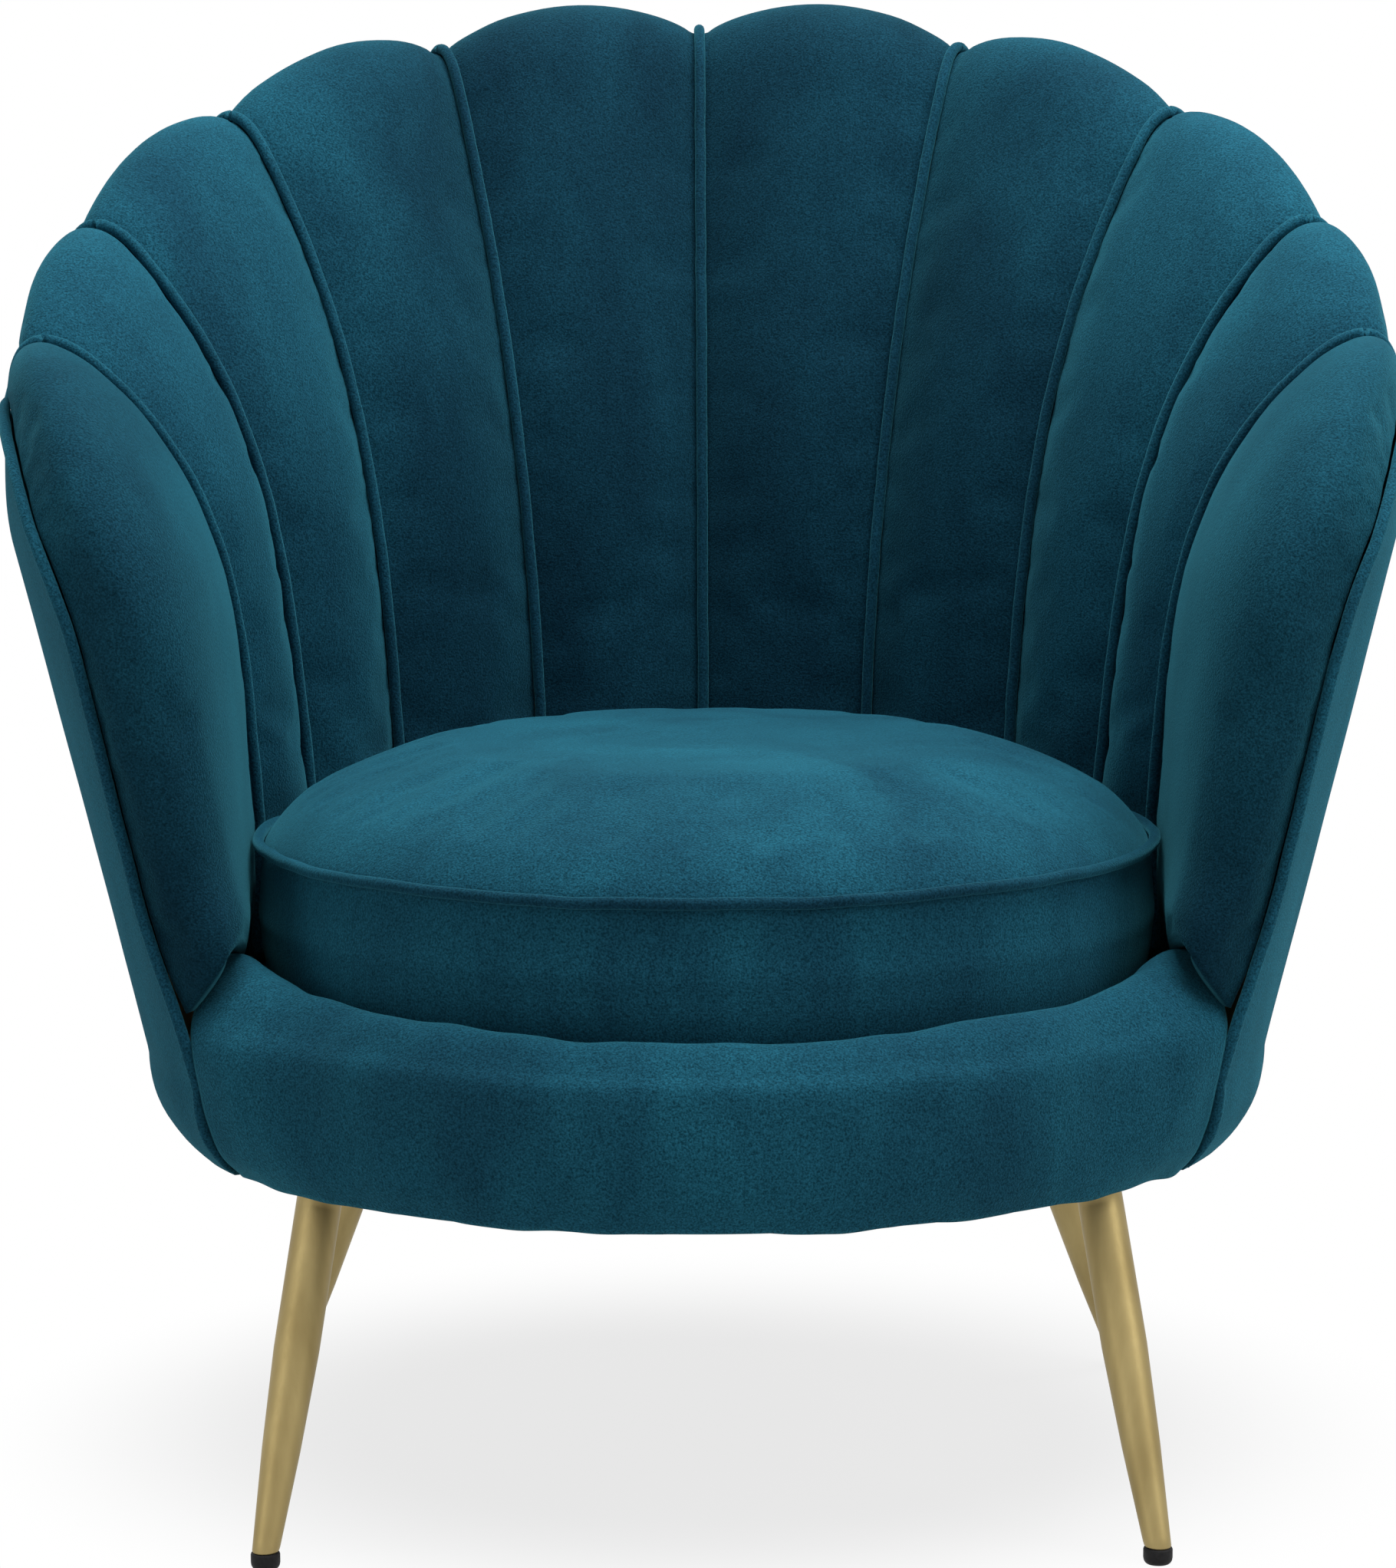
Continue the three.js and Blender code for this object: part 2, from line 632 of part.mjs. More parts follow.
function bandRing(along) {
  const fromEnd = 1 - abs(along);
  const top = bandTopFront + bandRiseArm * (1 - fromEnd) + bandRiseEnd * exp(-fromEnd / bandFadeShare);
  const spread = 1 - THREE.MathUtils.smoothstep(fromEnd, 0, bandSpreadShare);
  const spreadTo = (radius, z) => lerp(radius, armCoverRadius(z) - touchGap, spread);
  const place = (radius, z, inward = 0) => {
    const outerStart = frontEdgeAngle + footTurn(z) + bandEndGap;
    const start = lerp(outerStart, bandInnerStartAngle, min(1, inward / bandInnerShare));
    return around(PI + (PI - start) * along, radius, z);
  };
  const sideRadius = seatRingRadius + slackGap;
  const footRadius = lowerRingRadius + slackGap;
  return [
    place(footRadius, coverBottom),
    ...bandLowerShares.map(([out, up]) => {
      const z = lerp(coverBottom, seatRingBottom, up);
      return place(spreadTo(lerp(bandBottomRadius, bandBulgeRadius, out), z), z);
    }),
    ...bandRollShares.map(([inward, up]) => {
      const z = lerp(seatRingTop, top, up);
      return place(lerp(spreadTo(bandBulgeRadius, z), bandInnerRadius, inward), z, inward);
    }),
    place(bandInnerRadius, seatRingTop + slackGap, 1),
    place(sideRadius, seatRingTop + slackGap),
    place(sideRadius, seatRingBottom),
    place(footRadius, lowerRingTop),
  ];
}

const bandRings = steps(26).map((share) => bandRing(lerp(-1, 1, share)));
const bandOuterCount = 1 + bandLowerShares.length + bandRollShares.length;
add('base_front_band', loft(bandRings, bandOuterCount), velvet);

// Loose cushion: sewn cover with a zip opening at the back, foam core and two cords
const cushionSegments = 36;
const boxingShares = [0.35, 0.7];
const crownShares = [0.93, 0.82, 0.66, 0.46, 0.24, 0];
const crownTop = (share) => pipingHeight + cushionCrown * (1 - share ** crownPower);

function cushionBody(inset) {
  const edge = cushionRadius - inset;
  const profile = [
    new THREE.Vector2(0, cushionBottom + inset),
    new THREE.Vector2(cushionBottomRadius - inset, cushionBottom + inset),
    new THREE.Vector2(edge - cushionTuck, lowerWeltHeight + inset),
    ...boxingShares.map((share) => {
      return new THREE.Vector2(edge + cushionBulge, lerp(cushionBottom, pipingHeight, share));
    }),
    new THREE.Vector2(edge, pipingHeight - inset),
    ...crownShares.map((share) => new THREE.Vector2(edge * share, crownTop(share) - inset)),
  ];
  const geometry = new THREE.LatheGeometry(profile, cushionSegments);
  geometry.rotateX(PI / 2);
  return geometry;
}

const zipSlot = new THREE.BoxGeometry(zipLength, zipCutDepth, zipWidth);
zipSlot.translate(0, cushionRadius, (cushionBottom + pipingHeight) / 2);
add('cushion_cover', cut(cushionBody(0), cushionBody(coverSkin), zipSlot), velvetLight);
add('cushion_foam', toGeometry(toSolid(cushionBody(coverSkin + touchGap))), foam);

function cushionCord(radius, z) {
  const reach = radius + weltRadius + touchGap;
  const geometry = new THREE.TorusGeometry(reach, weltRadius, cordSides, cushionSegments);
  geometry.translate(0, 0, z);
  return toGeometry(toSolid(geometry));
}

add('cushion_welt_upper', cushionCord(cushionRadius, pipingHeight), pipingVelvet);
add('cushion_welt_lower', cushionCord(cushionRadius - cushionTuck, lowerWeltHeight), pipingVelvet);

// Plywood rings, each with its bore, and the cloth under the seat
const legs = [
  ['front', frontLegTop, frontLegFoot],
  ['rear', rearLegTop, rearLegFoot],
].flatMap(([row, top, foot]) => sides.map(([sideName, side]) => ({
  name: `${row}_${sideName}`,
  top: new THREE.Vector3(top.x * side, top.y, plateTop),
  foot: new THREE.Vector3(foot.x * side, foot.y, glideHeight),
})));
const boltTop = plateBottom + boltLength;
const boltHole = ({ x, y }) => {
  const radius = boltRadius + boltClearance;
  return upright(radius, radius, plateBottom - cutOverrun, boltTop + boltClearance, x, y, 12);
};
const boltHoles = legs.map(({ top }) => boltHole(top));

function boardRing(radius, width, bottom, ...tools) {
  const bore = radius - width;
  const disc = upright(radius, radius, bottom, bottom + boardThickness, 0, 0, 40);
  const hole = upright(bore, bore, bottom - cutOverrun, bottom + boardThickness + cutOverrun, 0, 0, 32);
  return cut(disc, hole, ...tools);
}

const clothDisc = upright(dustClothRadius, dustClothRadius, baseBottom, dustClothTop, 0, 0, 40);
add('lower_frame_ring', boardRing(lowerRingRadius, lowerRingWidth, lowerRingBottom, ...boltHoles), plywood);
add('seat_frame_ring', boardRing(seatRingRadius, seatRingWidth, seatRingBottom), plywood);
add('dust_cloth', cut(clothDisc, ...boltHoles), dustCloth);

// Corner blocks between the rings, over the legs
for (const { name, top } of legs) {
  const angle = atan2(top.x, top.y);
  const block = new THREE.BoxGeometry(blockWidth, blockLength, blockHeight);
  block.translate(0, seatRingRadius - blockInset - blockLength / 2, (seatRingBottom + lowerRingTop) / 2);
  block.rotateZ(-angle);
  add(`leg_block_${name}`, cut(block, ...boltHoles), hardwood);
}

// Curved board behind the channels, standing against the seat ring
const linerInner = -(padThickness + linerSlack);
const linerOuter = linerInner - linerThickness;

function linerRing(turn) {
  const seatAngle = abs(turn) * seamSeatAngles[4];
  const index = min(4, max(1, seamSeatAngles.findIndex((angle) => angle >= seatAngle)));
  const [seatLow, seatHigh] = seamSeatAngles.slice(index - 1, index + 1);
  const within = (seatAngle - seatLow) / (seatHigh - seatLow);
  const line = meridian(seatAngle, lerp(seamRimAngles[index - 1], seamRimAngles[index], within));
  const footRadius = seatRingRadius + linerGap;
  const inner = innerFaceShares.map((share) => shellPoint(line, share, linerInner));
  const outer = innerFaceShares.map((share) => shellPoint(line, share, linerOuter)).reverse();
  const ring = [
    around(seatAngle, footRadius, seatRingBottom),
    ...inner,
    ...outer,
    around(seatAngle, footRadius + linerThickness, seatRingBottom),
  ];
  return turn < 0 ? mirrored(ring) : ring;
}

add('back_board', loft(steps(24).map((share) => linerRing(lerp(-1, 1, share)))), fibreboard);

// Top rail inside the roll, the posts under it, and the mid rail let into the posts
const corners = [[-1, -1], [1, -1], [1, 1], [-1, 1]];
const railCentre = (line, angle) => {
  return (line.rollStart + line.edgeHeight) / 2 - mix(railDropBack, railDropArm, angle);
};

function topRailRings(growth) {
  return steps(28).map((share) => {
    const angle = lerp(-railEndAngle, railEndAngle, share);
    const line = meridian(angle, angle);
    const radius = lerp(line.startRadius, line.edgeRadius, railPlaceShare);
    const z = railCentre(line, angle);
    const [halfWidth, halfHeight] = [railWidth / 2 + growth, railHeight / 2 + growth];
    return corners.map(([x, y]) => around(angle, radius + x * halfWidth, z + y * halfHeight));
  });
}

function post(side, foot, top, width, depth, growth = 0) {
  const ring = (point) => {
    const angle = atan2(point.x, point.y);
    return corners.map(([x, y]) => point.clone()
      .addScaledVector(forward(angle), x * (width / 2 + growth))
      .addScaledVector(outward(angle), depth / 2 + y * (depth / 2 + growth)));
  };
  const rings = [ring(foot), ring(top)];
  return loft(side < 0 ? rings.map(mirrored) : rings);
}

// A line up the back of the curved board, which the posts and the mid rail follow
function frameLine(seatAngle, rimAngle) {
  const line = meridian(seatAngle, rimAngle);
  const foot = innerRadius - linerOuter + slackGap;
  const high = shellPoint(line, innerFaceShare, linerOuter - postTopGap);
  const lean = (hypot(high.x, high.y) - foot) / (high.z - seatRingBottom);
  const radiusAt = (z) => foot + lean * (z - seatRingBottom);
  return { line, high, radiusAt };
}

const postFoot = lowerRingTop + touchGap;
const postRows = [['rear', 2], ['side', 4]];
const posts = postRows.flatMap(([row, number]) => sides.map(([sideName, side]) => {
  const seatAngle = (seamSeatAngles[number - 1] + seamSeatAngles[number]) / 2;
  const rimAngle = (seamRimAngles[number - 1] + seamRimAngles[number]) / 2;
  const { line, high, radiusAt } = frameLine(seatAngle, rimAngle);
  const at = (z) => {
    const climb = (z - seatRingBottom) / (high.z - seatRingBottom);
    return around(lerp(seatAngle, rimAngle, max(0, climb)), radiusAt(z), z);
  };
  const foot = at(postFoot);
  const top = at(railCentre(line, rimAngle) - railHeight / 2 + cutOverrun);
  const [plain, grown] = [0, touchGap].map((growth) => post(side, foot, top, postWidth, postDepth, growth));
  return { name: `${row}_post_${sideName}`, plain, grown };
}));
const railTool = loft(topRailRings(touchGap));
for (const { name, plain } of posts) {
  const pieces = toSolid(plain).subtract(toSolid(railTool)).decompose();
  const standing = pieces.reduce((best, piece) => (piece.volume() > best.volume() ? piece : best));
  add(name, toGeometry(standing), hardwood);
}
add('top_rail', loft(topRailRings(0)), plywood);

const midRailHeight = armLine.rollStart - midRailDrop;
const midRail = steps(24).map((share) => {
  const angle = lerp(-midRailEndAngle, midRailEndAngle, share);
  const { radiusAt } = frameLine(angle, angle);
  return corners.map(([x, y]) => {
    const z = midRailHeight + y * midRailWidth / 2;
    return around(angle, radiusAt(z) + midRailLetIn + (x - 1) * midRailDepth / 2, z);
  });
});
add('mid_rail', cut(loft(midRail), ...posts.map(({ grown }) => grown)), plywood);

const armPostTop = armEdgeHeight - armPostDrop;
const armPostRoom = armCoverRadius(armPostTop) - coverThickness - armPostDepth;
const armPostTopRadius = lerp(seatRingRadius, armPostRoom, armPostPlaceShare);
const armPostSeatRadius = seatRingRadius + armPostGap;
const armPostLean = (armPostTopRadius - armPostSeatRadius) / (armPostTop - seatRingBottom);
for (const [sideName, side] of sides) {
  const at = (z) => around(armPostAngle, armPostSeatRadius + armPostLean * (z - seatRingBottom), z);
  const solid = post(side, at(postFoot), at(armPostTop), armPostWidth, armPostDepth);
  add(`arm_front_post_${sideName}`, solid, hardwood);
}

// Webbing under the deck pad: three straps across, two front to back on top of them
function strap(name, place, bottom, lengthwise) {
  const half = sqrt(strapReach ** 2 - (abs(place) + strapWidth / 2) ** 2);
  const geometry = new THREE.BoxGeometry(2 * half, strapWidth, strapThickness);
  geometry.translate(0, place, bottom + strapThickness / 2);
  if (lengthwise) geometry.rotateZ(PI / 2);
  add(name, geometry, webbing);
}

[-1, 0, 1].forEach((row, index) => {
  strap(`webbing_across_${index + 1}`, row * strapSpacing, lowerStrapBottom, false);
});
[-1, 1].forEach((row, index) => {
  strap(`webbing_lengthwise_${index + 1}`, row * strapSpacing / 2, upperStrapBottom, true);
});
add('deck_pad', upright(deckRadius, deckRadius, deckBottom, deckBottom + deckThickness, 0, 0, 36), wadding);

// Legs: tapered tubes under welded plates, with a bolt up into the block and a glide in each foot
function alongLeg(geometry, top, foot) {
  const axis = top.clone().sub(foot).normalize();
  geometry.applyQuaternion(new THREE.Quaternion().setFromUnitVectors(new THREE.Vector3(0, 1, 0), axis));
  geometry.translate(foot.x, foot.y, foot.z);
  return geometry;
}

function legTube(top, foot, inset) {
  const upper = top.distanceTo(foot) + cutOverrun;
  const lower = -2 * cutOverrun;
  const profile = [
    new THREE.Vector2(0, lower),
    new THREE.Vector2(legFootRadius - inset, lower),
    new THREE.Vector2(legFootRadius - inset, 0),
    new THREE.Vector2(lerp(legFootRadius, legRadius, taperMiddleShare) - inset, legTaperLength / 2),
    new THREE.Vector2(legRadius - inset, legTaperLength),
    new THREE.Vector2(legRadius - inset, upper),
    new THREE.Vector2(0, upper),
  ];
  return alongLeg(new THREE.LatheGeometry(profile, 14), top, foot);
}

function slab(bottom, { x, y }) {
  const geometry = new THREE.BoxGeometry(legTaperLength, legTaperLength, legTaperLength);
  geometry.translate(x, y, bottom + legTaperLength / 2);
  return geometry;
}

function leg({ name, top, foot }) {
  const above = slab(plateBottom + touchGap, top);
  const below = slab(glideHeight + touchGap - legTaperLength, foot);
  const tube = cut(legTube(top, foot, 0), legTube(top, foot, legWall), above, below);
  const plate = upright(legPlateRadius, legPlateRadius, plateBottom, plateTop, top.x, top.y, 20);
  add(`leg_${name}`, cut(toGeometry(toSolid(tube).add(toSolid(plate))), boltHole(top)), brass);
}

function legBolt({ name, top }) {
  const headTop = plateBottom - touchGap;
  const headBottom = headTop - boltHeadHeight;
  const shank = upright(boltRadius, boltRadius, headBottom + touchGap, boltTop, top.x, top.y, 12);
  const head = upright(boltHeadRadius, boltHeadRadius, headBottom, headTop, top.x, top.y, 6);
  add(`leg_bolt_${name}`, toGeometry(toSolid(shank).add(toSolid(head))), steel);
}

function glide({ name, top, foot }) {
  const rim = upright(glideRadius, glideRadius, glideFaceHeight, glideHeight, foot.x, foot.y, 16);
  const face = upright(glideFaceRadius, glideRadius, 0, glideFaceHeight, foot.x, foot.y, 16);
  const stemRadius = legFootRadius - legWall - touchGap;
  const stem = new THREE.CylinderGeometry(stemRadius, stemRadius, glideStemLength, 12);
  stem.translate(0, glideStemLength / 2 - glideFaceHeight, 0);
  alongLeg(stem, top, foot);
  add(`glide_${name}`, toGeometry(toSolid(face).add(toSolid(rim)).add(toSolid(stem))), rubber);
}

for (const side of legs) {
  leg(side);
  legBolt(side);
  glide(side);
}

export default chair;
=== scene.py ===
import math

import bpy
import numpy as np
from mathutils import Matrix, Vector, noise


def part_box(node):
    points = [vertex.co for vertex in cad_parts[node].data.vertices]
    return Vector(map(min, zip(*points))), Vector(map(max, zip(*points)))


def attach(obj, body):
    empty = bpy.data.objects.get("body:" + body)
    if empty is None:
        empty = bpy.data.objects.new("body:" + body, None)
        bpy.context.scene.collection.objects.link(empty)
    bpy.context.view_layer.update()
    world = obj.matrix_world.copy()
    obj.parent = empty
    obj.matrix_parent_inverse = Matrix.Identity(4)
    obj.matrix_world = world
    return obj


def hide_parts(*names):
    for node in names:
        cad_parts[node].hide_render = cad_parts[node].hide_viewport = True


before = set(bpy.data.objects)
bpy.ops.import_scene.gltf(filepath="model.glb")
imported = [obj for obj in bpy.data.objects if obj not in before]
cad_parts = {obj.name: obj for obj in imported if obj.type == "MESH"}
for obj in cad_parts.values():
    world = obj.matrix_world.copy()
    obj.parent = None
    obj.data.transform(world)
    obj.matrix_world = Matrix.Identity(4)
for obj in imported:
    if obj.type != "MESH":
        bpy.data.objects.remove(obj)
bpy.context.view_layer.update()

BODY_CHAIR, BODY_CUSHION = "chair", "seat_cushion"


def middle(low, high):
    return (low + high) / 2


AXIS_Y = middle(*(corner.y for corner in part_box("cushion_foam")))

# Shell of padded channels. A pair is a value at the back and one at the arms.
PIPING_HEIGHT = 0.3665
PAD_FOOT = 0.284
RIM_BACK_HEIGHT = 0.833
RIM_DROP = 0.1815
DROP_POWER = 1.1
LATE_DROP_SHARE = 0.007
LATE_DROP_POWER = 6
INNER_RADIUS = 0.273
FLARE = 0.0994, 0.069
FLARE_POWER = 1.87, 3.8
EDGE_RADIUS = EDGE_RADIUS_BACK, EDGE_RADIUS_ARM = 0.430, 0.397
ROLL_RISE = 0.029, 0.020
EDGE_DROP = 0.029, 0.0335
ROLL_IN = 0.055, 0.050
ROLL_OUT = 0.033, 0.038
INNER_FACE_SHARE = 0.72
SEAM_SEAT_ANGLES = [math.radians(a) for a in (0, 21.7, 43.2, 60.3, 76.7)]
SEAM_RIM_ANGLES = [math.radians(a) for a in (0, 24.5, 48.6, 71.6, 90)]
PAD_THICKNESS = 0.014
CROWN_AT_SEAT = 0.010
CROWN_AT_MIDDLE = 0.017, 0.010
CROWN_AT_RIM = 0.018, 0.014
CROWN_AT_EDGE = 0.003
CROWN_STOP_SHARES = (0, 0.2, 0.45, 0.66, 0.84, 0.95, 1)
CROWN_FLAT_POWER, RIM_FLAT_POWER = 2.4, 2.0
RIM_FLAT_STOPS = (0.6, 0.85)
WELT_RADIUS = 0.0034
RIM_SEAM_OFFSET = 0.0051

# Front edge of the arms
FRONT_EDGE_ANGLE = math.radians(116)
FRONT_EDGE_TOP = 0.480
FOOT_TURN = math.radians(3.5)
FOOT_TURN_STOPS = (0.250, 0.360)
NOSE_FOOT = 0.2895
NOSE_LIFT = 0.043
NOSE_REACH_SHARE, NOSE_RETURN_SHARE = 0.54, 0.43
NOSE_TOP_SHARE = 0.975
NOSE_LIFT_POWER, NOSE_LIFT_SKEW = 4, 1.7
INWARD_AT_SEAM_SHARE, INWARD_AT_EDGE_SHARE = 0.24, 0.35
INWARD_FADE_STOPS = (0.66, 0.9)

# Outer cover and the front band of the base
COVER_THICKNESS = 0.0035
COVER_BOTTOM, COVER_BOTTOM_RADIUS = 0.197, 0.300
CONE_BOTTOM, CONE_BOTTOM_RADIUS = 0.249, 0.3232
CONE_TOP = 0.540
CONE_TOP_RADIUS = EDGE_RADIUS_BACK - 0.039, EDGE_RADIUS_ARM - 0.004
FRONT_SEAM_GAP = 0.0045
BAND_BOTTOM_RADIUS, BAND_BULGE_RADIUS, BAND_INNER_RADIUS = 0.297, 0.308, 0.264
BAND_TOP_FRONT, BAND_RISE_ARM, BAND_RISE_END = 0.294, 0.010, 0.014
BAND_FADE_SHARE, BAND_SPREAD_SHARE = 0.17, 0.3
BAND_INNER_START, BAND_INNER_SHARE = math.radians(115.2), 0.45
BAND_COVER_GAP = 0.0003
SEAT_RING_BOTTOM, SEAT_RING_TOP = 0.250, 0.268

# Loose cushion
CUSHION_RADIUS = 0.255
CUSHION_BOTTOM = 0.2822
CUSHION_CROWN = 0.054
CUSHION_CROWN_POWER = 7
LOWER_WELT_HEIGHT = 0.2862
LOWER_WELT_RADIUS = CUSHION_RADIUS - 0.002
CUSHION_CORD_OFFSET = 0.0037

# Under the seat
DUST_CLOTH_RADIUS = 0.2945
DUST_CLOTH_BOTTOM, DUST_CLOTH_THICKNESS = 0.198, 0.0006
DUST_CLOTH_SAG, DUST_CLOTH_WAVE = 0.0012, 0.0006
DECK_RADIUS, DECK_BOTTOM, DECK_TOP = 0.263, 0.2719, 0.2819
DECK_EDGE_FALL, DECK_WAVE, DECK_UNDERCUT = 0.0045, 0.0007, 0.002
DUST_CLOTH_ROWS, DECK_ROWS, DECK_BOTTOM_ROWS = 40, 48, 8
CLOTH_WAVE_LENGTH = 0.05
SAG_STOPS, WAVE_STOPS, DECK_FALL_STOPS = (0.2, 0.8), (0.1, 0.4), (0.93, 1.0)
ROUND_SIDES = 144
DISC_HUB_RADIUS = 0.002

# Legs: feet and tops in the frame, right side
PLATE_BOTTOM, PLATE_TOP = 0.1937, 0.1977
GLIDE_HEIGHT = 0.009
LEG_RADIUS, LEG_FOOT_RADIUS = 0.0125, 0.0073
LEG_TAPER_START, LEG_TAPER_LENGTH, LEG_TAPER_RINGS = 0.004, 0.110, 40
LEG_TAPER_MIDDLE_SHARE = 0.62
LEG_STOPS, LEG_END_GAP = (0.13, 0.16), 0.012
LEG_FOOT_GAP, LEG_FOOT_SHOULDER, FOOT_BEVEL = 0.0003, 0.0012, 0.0004
LEG_WALL = 0.0015
LEG_PLATE_RADIUS = 0.020
BOLT_HOLE_RADIUS = 0.0043
LEG_SIDES, GLIDE_SIDES = 64, 48
LEG_WELD, PLATE_BEVEL = 0.0022, 0.0006
GLIDE_RADIUS, GLIDE_FACE_RADIUS = 0.008, 0.0062
LEG_TOPS = {"front": (0.213, -0.165), "rear": (0.196, 0.150)}
LEG_FEET = {"front": (0.2415, -0.235), "rear": (0.259, 0.186)}
SIDES = (("left", -1), ("right", 1))
UP = np.array([0, 0, 1.0])


# Small sums on arrays of points
def mix(pair, angle):
    back, arm = pair
    return back + (arm - back) * np.sin(angle) ** 2


def lerp(start, end, share):
    return start + (end - start) * share


def smoothstep(value, start, end):
    share = np.clip((value - start) / (end - start), 0, 1)
    return share * share * (3 - 2 * share)


def around(angle, radius, height):
    parts = np.broadcast_arrays(radius * np.sin(angle), radius * np.cos(angle) + AXIS_Y, height)
    return np.stack(parts, axis=-1).astype(float)


def outward(angle):
    return np.stack([np.sin(angle), np.cos(angle), np.zeros_like(angle)], axis=-1)


def angle_of(points):
    return np.arctan2(points[..., 0], points[..., 1] - AXIS_Y)


def radius_of(points):
    return np.hypot(points[..., 0], points[..., 1] - AXIS_Y)


def full_turn(count):
    return np.linspace(0, 2 * math.pi, count, endpoint=False)


def forward(angle):
    return np.stack([np.cos(angle), -np.sin(angle), np.zeros_like(angle)], axis=-1)


def unit(vectors):
    return vectors / np.maximum(np.linalg.norm(vectors, axis=-1, keepdims=True), 1e-12)


def mirrored(points):
    return points * (-1, 1, 1)


def bezier(start, first, second, end, share):
    rest = 1 - share
    return (rest ** 3 * start + 3 * rest ** 2 * share * first
            + 3 * rest * share ** 2 * second + share ** 3 * end)


def bezier_slope(start, first, second, end, share):
    rest = 1 - share
    return (3 * rest ** 2 * (first - start) + 6 * rest * share * (second - first)
            + 3 * share ** 2 * (end - second))


def eased(count):
    """Shares from 0 to 1 that lie closer together at both ends."""
    return (1 - np.cos(np.linspace(0, math.pi, count))) / 2


def ripple(points, scale, seed=0, octaves=2):
    """Smooth noise about 0, about one wave to each scale."""
    flat = points.reshape(-1, 3) / scale + seed * 7.31
    values = [noise.fractal(Vector(p), 1.0, 2.0, octaves, noise_basis="PERLIN_ORIGINAL") for p in flat]
    return np.array(values).reshape(points.shape[:-1])


def catmull(points, count):
    """A smooth line through a short row of points."""
    points = np.asarray(points, float)
    padded = np.vstack([2 * points[0] - points[1], points, 2 * points[-1] - points[-2]])
    place = np.linspace(0, len(points) - 1, count)
    index = np.minimum(place.astype(int), len(points) - 2)
    share = (place - index)[:, None]
    p0, p1, p2, p3 = (padded[index + k] for k in range(4))
    return 0.5 * (2 * p1 + (p2 - p0) * share + (2 * p0 - 5 * p1 + 4 * p2 - p3) * share ** 2
                  + (3 * p1 - p0 - 3 * p2 + p3) * share ** 3)


# Meshes
def new_object(name, data):
    obj = bpy.data.objects.new(name, data)
    bpy.context.scene.collection.objects.link(obj)
    return obj


def mesh_object(name, points, faces):
    mesh = bpy.data.meshes.new(name)
    mesh.from_pydata(points.reshape(-1, 3).tolist(), [], faces)
    return new_object(name, mesh)


def faces_out(points, faces):
    """The faces, turned so that the closed body they make has its outside out."""
    flat = points.reshape(-1, 3)
    volume = sum(flat[face[0]] @ np.cross(flat[b], flat[c])
                 for face in faces for b, c in zip(face[1:-1], face[2:]))
    return faces if volume > 0 else [face[::-1] for face in faces]


def loft(rings, ends="fan"):
    """Faces of a closed body through rings. Ends are "fan", "strip" where a ring is a front and a back row
    of the same count, or "joined" where the last ring meets the first."""
    rows, count = rings.shape[:2]
    faces = []
    for i in range(rows if ends == "joined" else rows - 1):
        low, high = i * count, (i + 1) % rows * count
        faces += [(low + j, low + (j + 1) % count, high + (j + 1) % count, high + j) for j in range(count)]
    for base, flip in ((0, True), ((rows - 1) * count, False)):
        if ends == "joined":
            break
        if ends == "strip":
            cap = [(base + j, base + j + 1, base + count - 2 - j, base + count - 1 - j)
                   for j in range(count // 2 - 1)]
        else:
            cap = [tuple(range(base, base + count))]
        faces += [face[::-1] for face in cap] if flip else cap
    return faces_out(rings, faces)


LOOKS = {}


def piece(name, rings, look, replaced, ends="fan", body=BODY_CHAIR, faces=None):
    """A closed body through rings, or of points and faces, in place of CAD nodes."""
    obj = mesh_object(name, rings, faces or loft(rings, ends))
    obj.data.shade_smooth()
    obj.data.materials.append(LOOKS[look])
    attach(obj, body)
    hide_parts(*replaced)
    return obj


def sheet_body(front, back):
    """Rings of a closed body between a front and a back grid of points."""
    return np.concatenate([front, back[:, ::-1]], axis=1)


def cord_rings(path, radius, sides=12, closed=False):
    if closed:
        ahead = unit(np.roll(path, -1, axis=0) - np.roll(path, 1, axis=0))
    else:
        ahead = unit(np.gradient(path, axis=0))
    out = outward(angle_of(path))
    first = unit(out - (out * ahead).sum(-1, keepdims=True) * ahead)
    second = np.cross(ahead, first)
    turn = full_turn(sides)[None, :, None]
    radius = np.broadcast_to(radius, len(path))[:, None, None]
    return path[:, None] + radius * (np.cos(turn) * first[:, None] + np.sin(turn) * second[:, None])


# Cloth simulation of the padded pieces
SIM_FRAMES = 20
CLOTH_SETTINGS = {"quality": 6, "mass": 0.25, "tension_stiffness": 12, "compression_stiffness": 12,
                  "shear_stiffness": 6, "use_pressure": True, "uniform_pressure_force": 4.0,
                  "vertex_group_mass": "held", "pin_stiffness": 1}
CHANNEL_BENDING, CUSHION_BENDING = 1.0, 3.0
HELD_LIMIT = 0.001


def evaluated(obj):
    """Points and faces of an object with its modifiers applied."""
    bpy.context.view_layer.update()
    seen = obj.evaluated_get(bpy.context.evaluated_depsgraph_get())
    mesh = seen.to_mesh()
    points = np.empty(len(mesh.vertices) * 3, np.float32)
    mesh.vertices.foreach_get("co", points)
    faces = [tuple(face.vertices) for face in mesh.polygons]
    seen.to_mesh_clear()
    return points.reshape(-1, 3).astype(float), faces


def voxel_remeshed(points, faces, size):
    obj = mesh_object("loose", points, faces)
    remesh = obj.modifiers.new("remesh", "REMESH")
    remesh.mode = "VOXEL"
    remesh.voxel_size = size
    result = evaluated(obj)
    bpy.data.objects.remove(obj)
    return result


